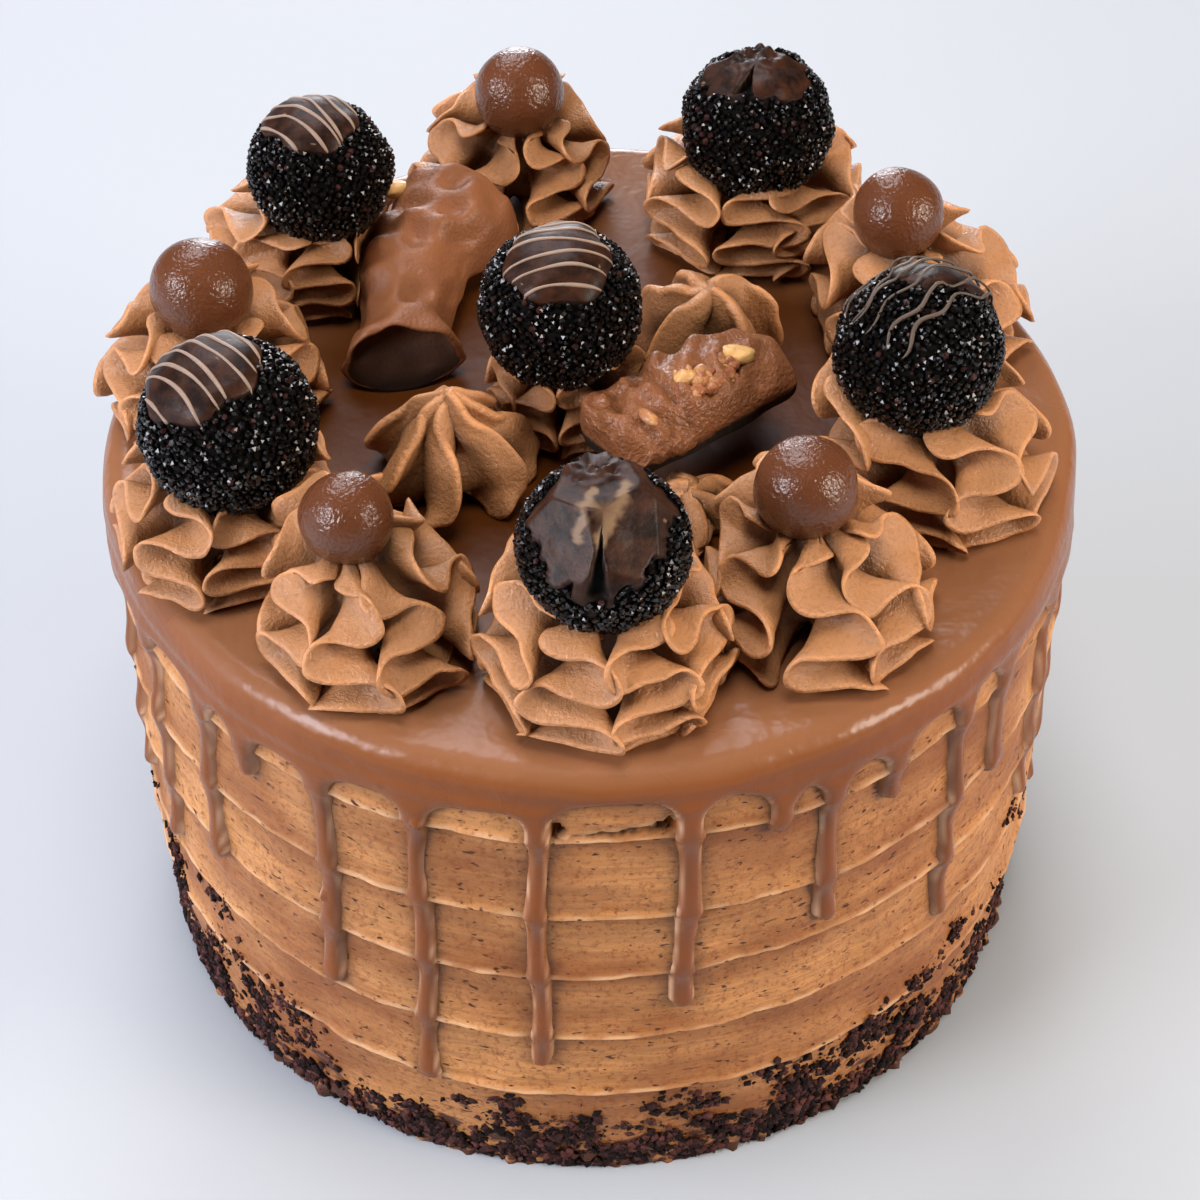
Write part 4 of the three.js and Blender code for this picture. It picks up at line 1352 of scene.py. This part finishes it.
def crumb_copies(clumps, largest, depth, lip):
    """Crumbs pressed on the foot of the side: a thick edge at the base, clumps above it, and a few strays.

    The clumps climb higher at the two sides than in front, and each has its own size of crumb. Each crumb
    is an octahedron whose points are pushed in and out, flattened against the icing.
    """
    rng = np.random.default_rng(51)
    middle = rng.uniform(0, TAU, clumps)
    climb = CLIMB + CLIMB_ASIDE * np.abs(np.cos(middle)) ** 1.5
    level = 2.0 + np.abs(rng.normal(0, 1, clumps)) * climb
    which = rng.integers(0, clumps, clumps * CLUMP_CRUMBS)
    loose = rng.uniform(0.25, 1.1, clumps)[which]
    coarse = rng.uniform(0.6, 1.35, clumps)[which]
    theta = middle[which] + rng.normal(0, 1, len(which)) * loose * CLUMP_WIDTH / SIDE_RADIUS
    z = level[which] + rng.normal(0, 1, len(which)) * loose * CLUMP_HEIGHT
    stray = rng.uniform(0, TAU, STRAY_CRUMBS)
    theta = np.concatenate([theta, rng.uniform(0, TAU, FOOT_CRUMBS), stray])
    foot = rng.exponential(FOOT_RISE, FOOT_CRUMBS)
    z = np.concatenate([z, foot, rng.uniform(*STRAY_HEIGHTS, STRAY_CRUMBS) * np.cos(stray) ** 2])
    number = len(z)
    wide = SMALLEST_CRUMB + (largest - SMALLEST_CRUMB) * rng.uniform(0, 1, number) ** 1.9
    wide[:len(which)] *= coarse
    wide = wide * np.interp(z, [0, 10, 40], [1.0, 0.9, 0.6])
    z = np.maximum(z, wide * 0.4)
    ball, faces = octahedron()
    shapes = ball * rng.uniform(0.55, 1.35, (number, len(ball), 1)) * wide[:, None, None] / 2
    shapes = np.einsum("nij,nkj->nki", random_turns(rng, number), shapes)
    out = around(theta, 1, 0 * z)
    sunk = np.einsum("nki,ni->nk", shapes, out) * FLATTENED
    shapes = shapes - sunk[..., None] * out[:, None]
    points = shapes + around(theta, side_radius(theta, z, depth, lip) + 0.04 * wide, z)[:, None]
    points[..., 2] = np.maximum(points[..., 2], 0.02)
    return (*joined(points, faces), np.repeat(rng.uniform(0, 1, number) ** 2, len(ball)))


# Operators


class CAKE_OT_body(bpy.types.Operator):
    """Make the iced body with its scraped bands and tears"""

    bl_idname = "cake.body"
    bl_label = "Iced body"

    def execute(self, context):
        props, pour = context.scene.cake_body, context.scene.cake_pour
        points, faces, tear_and_shade, lip, shade_under_ridges = closed_grid(
            *iced_body(props.ridge_depth / MM, props.lip / MM, pour.drip_width / MM / 2, pour.funnel / MM)
        )
        material = scraped_buttercream(props.buttercream, props.dark, props.smear, props.stain)
        values = {"tear_and_shade": tear_and_shade, "lip": lip, "shade_under_ridges": shade_under_ridges}
        piece = make_piece("iced_body", points, faces, material, values)
        settle(piece, "buttercream", "cake_body")
        return {"FINISHED"}


class CAKE_OT_pour(bpy.types.Operator):
    """Make the poured chocolate with its rim and drips"""

    bl_idname = "cake.pour"
    bl_label = "Poured chocolate"

    def execute(self, context):
        props, body = context.scene.cake_pour, context.scene.cake_body
        points, faces, values = poured_chocolate(props, body.ridge_depth / MM, body.lip / MM)
        material = poured_ganache(props.ganache, props.bloom_and_sheen, props.edge_highlight)
        piece = make_piece("poured_ganache", points, faces, material, values)
        settle(piece, "ganache", "poured_chocolate")
        return {"FINISHED"}


class CAKE_OT_rosettes(bpy.types.Operator):
    """Make the piped rosettes, each leaning to its topping"""

    bl_idname = "cake.rosettes"
    bl_label = "Piped rosettes"

    def execute(self, context):
        props = context.scene.cake_rosettes
        material = piped_buttercream(props.buttercream)
        nodes = [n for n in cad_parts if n.startswith("rosette_")]
        for number, node in enumerate(sorted(nodes)):
            low, high = box_mm(node)
            radius = (high - low)[:2].mean() / 2
            topping = TOPPINGS.get(node)
            kind = node.removeprefix("rosette_")
            if topping:
                kind = "cup" if "truffle" in topping else "nest"
            height = props.height / MM if topping else max(high[2] - low[2], LOWEST_ROSETTE)
            foot = np.array([*(low + high)[:2] / 2, TOP_Z - 0.2])
            points, reach = rosette(kind, radius, height, props, 100 + number)
            if topping:
                place, ball = topping_place(topping)
                points = nestle(points, height, place - foot, ball)
            points = beside_bar(points + foot, BARS["nut_bar_1"]) if node in BESIDE_BAR else points + foot
            points, faces, reach = closed_grid(points, reach)
            piece = make_piece("piped_" + node, points, faces, material, {"reach": reach})
            settle(piece, "piped_buttercream", node)
        return {"FINISHED"}


class CAKE_OT_truffles(bpy.types.Operator):
    """Make the truffles, their beads and their drizzle"""

    bl_idname = "cake.truffles"
    bl_label = "Truffles"

    def execute(self, context):
        props = context.scene.cake_truffles
        coat = truffle_chocolate(props.coat, props.beads, props.smear)
        truffles = [Truffle(node, number, props.cap / MM) for number, node in enumerate(TRUFFLES)]
        for node, truffle in zip(TRUFFLES, truffles):
            points, faces, share, smear = closed_grid(*truffle_skin(truffle))
            piece = make_piece("coated_" + node, points, faces, coat, {"cap": share, "smear": smear})
            settle(piece, "truffle_coat", node)
        points, faces, tint = bead_copies(truffles, props.bead / MM, props.spacing / MM)
        beaded = chocolate_beads(props.beads)
        beads = make_piece("truffle_beads", points, faces, beaded, {"tint": tint}, smooth=False)
        settle(beads, "truffle_coat")
        lines, thin = [], []
        for truffle in truffles:
            drawn, loose = drizzle_lines(truffle, props.stripe / MM, props.stripe_gap / MM)
            lines += drawn
            thin += loose
        # Loose lines get painted shade in the drizzle material
        drizzle = make_piece("truffle_drizzle", *merged(lines), drizzled_chocolate(props.drizzle),
                             {"thin": np.concatenate(thin)})
        settle(drizzle, "truffle_coat")
        return {"FINISHED"}


class CAKE_OT_malt_balls(bpy.types.Operator):
    """Make the malt balls"""

    bl_idname = "cake.malt_balls"
    bl_label = "Malt balls"

    def execute(self, context):
        props = context.scene.cake_malt_balls
        material = panned_chocolate(props.chocolate)
        nodes = sorted(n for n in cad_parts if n.startswith("malt_ball_"))
        for number, node in enumerate(nodes):
            points, faces = closed_grid(malt_ball(*topping_place(node), props.uneven / MM, 200 + number))
            settle(make_piece("polished_" + node, points, faces, material), "malt_chocolate", node)
        return {"FINISHED"}


class CAKE_OT_nut_bars(bpy.types.Operator):
    """Make the nut bars and the nuts that show"""

    bl_idname = "cake.nut_bars"
    bl_label = "Nut bars"

    def execute(self, context):
        props = context.scene.cake_nut_bars
        material = enrobing_chocolate(props.chocolate)
        for number, (node, spec) in enumerate(BARS.items()):
            points, faces, under, grainy = closed_grid(*nut_bar(spec, props.lumps / MM, 300 + number))
            values = {"dark_foot_and_mouth_shade": under, "grainy": grainy}
            piece = make_piece("enrobed_" + node, points, faces, material, values)
            settle(piece, "bar_chocolate", node)
        points, faces, golden = nut_shapes()
        nuts = make_piece("bar_nuts", points, faces, roasted_nut(props.nuts, props.skin), {"golden": golden})
        settle(nuts, "bar_chocolate")
        return {"FINISHED"}


class CAKE_OT_crumbs(bpy.types.Operator):
    """Scatter the crumbs round the foot of the cake"""

    bl_idname = "cake.crumbs"
    bl_label = "Crumbs"

    def execute(self, context):
        props, body = context.scene.cake_crumbs, context.scene.cake_body
        sizes = props.largest / MM, body.ridge_depth / MM, body.lip / MM
        points, faces, tint = crumb_copies(props.clumps, *sizes)
        crumbs = make_piece("foot_crumbs", points, faces, cake_crumb(props.crumb), {"tint": tint})
        settle(crumbs, "buttercream")
        return {"FINISHED"}


# Lights: name, direction from the cake, distance, width, watts, colour, and whether it shows in gloss
LIGHTS = (
    ("left_lamp", (-0.74, -0.47, 0.48), 1.2, 0.5, 12, "F4F6FF", True),
    ("right_lamp", (0.85, -0.37, 0.4), 1.2, 0.5, 10, "FFF3E6", True),
    ("back_window", (-0.2, 0.6, 0.84), 1.5, 1.0, 14, "F4F6FF", True),
    ("back_glow", (-0.05, 1.0, 0.12), 1.3, 0.6, 8, "F4F8FF", True),
    ("overhead", (0.0, -0.12, 1.0), 1.3, 0.62, 13, "FFFFFF", False),
    ("left_window", (-1.0, -0.1, 0.3), 1.4, 0.9, 20, "D4E0FF", False),
    ("right_window", (1.0, -0.05, 0.3), 1.4, 0.9, 10, "FFF8F0", False),
)
CAMERA_PLACE = (0.52, -371.47, 426.76)
CAMERA_PITCH = 45.66  # degrees up from looking straight down
CAMERA_SHIFT = 0.00575
FLOOR_HALF = 3000


class CAKE_OT_stage(bpy.types.Operator):
    """Make the floor, the lights and the camera"""

    bl_idname = "cake.stage"
    bl_label = "Stage"

    def execute(self, context):
        scene, props = context.scene, context.scene.cake_stage
        corners = np.array([(-1, -1, 0), (1, -1, 0), (1, 1, 0), (-1, 1, 0)]) * FLOOR_HALF
        floor = make_piece("floor", corners, [np.arange(4)[None]], painted_floor(props.floor))
        middle = np.array([0, 0, TOP_Z]) * MM
        for name, direction, distance, width, power, hex_colour, shows in LIGHTS:
            light = bpy.data.lights.new(name, "AREA")
            light.shape = "DISK"
            light.size = width
            light.energy = power
            light.color = linear(hex_colour)
            lamp = bpy.data.objects.new(name, light)
            lamp.visible_glossy = shows
            lamp.location = middle + unit(direction) * distance
            lamp.rotation_mode = "QUATERNION"
            lamp.rotation_quaternion = Vector(direction).to_track_quat("Z", "Y")
            scene.collection.objects.link(lamp)
        world = bpy.data.worlds.new("soft_room")
        world.use_nodes = True
        background = world.node_tree.nodes["Background"]
        background.inputs["Color"].default_value = (*linear("E9ECF0"), 1)
        background.inputs["Strength"].default_value = 0.06
        scene.world = world
        camera = bpy.data.cameras.new("camera")
        camera.lens = props.lens
        camera.shift_x = CAMERA_SHIFT
        viewer = bpy.data.objects.new("camera", camera)
        viewer.location = np.array(CAMERA_PLACE) * MM
        viewer.rotation_euler = (math.radians(CAMERA_PITCH), 0, 0)
        scene.collection.objects.link(viewer)
        scene.camera = viewer
        scene.view_settings.view_transform = "Standard"
        return {"FINISHED"}


class CAKE_PT_panel(bpy.types.Panel):
    """Lists the pieces and their settings"""

    bl_idname = "CAKE_PT_panel"
    bl_label = "Chocolate drip cake"
    bl_space_type = "VIEW_3D"
    bl_region_type = "UI"
    bl_category = "Cake"

    def draw(self, context):
        for operator, (name, group) in zip(OPERATORS, SETTINGS.items()):
            box = self.layout.box()
            box.operator(operator.bl_idname)
            for prop in group.__annotations__:
                box.prop(getattr(context.scene, name), prop)


SETTINGS = {
    "cake_body": CakeBodySettings,
    "cake_pour": CakePourSettings,
    "cake_rosettes": CakeRosetteSettings,
    "cake_truffles": CakeTruffleSettings,
    "cake_malt_balls": CakeBallSettings,
    "cake_nut_bars": CakeBarSettings,
    "cake_crumbs": CakeCrumbSettings,
    "cake_stage": CakeStageSettings,
}
OPERATORS = (
    CAKE_OT_body, CAKE_OT_pour, CAKE_OT_rosettes, CAKE_OT_truffles, CAKE_OT_malt_balls, CAKE_OT_nut_bars,
    CAKE_OT_crumbs, CAKE_OT_stage,
)


def register():
    for cls in (*SETTINGS.values(), *OPERATORS, CAKE_PT_panel):
        bpy.utils.register_class(cls)
    for name, group in SETTINGS.items():
        setattr(bpy.types.Scene, name, bpy.props.PointerProperty(type=group))


def unregister():
    for name in SETTINGS:
        delattr(bpy.types.Scene, name)
    for cls in reversed((*SETTINGS.values(), *OPERATORS, CAKE_PT_panel)):
        bpy.utils.unregister_class(cls)


def main():
    register()
    bpy.ops.cake.body()
    bpy.ops.cake.pour()
    bpy.ops.cake.rosettes()
    bpy.ops.cake.truffles()
    bpy.ops.cake.malt_balls()
    bpy.ops.cake.nut_bars()
    bpy.ops.cake.crumbs()
    bpy.ops.cake.stage()


if __name__ == "__main__":
    main()
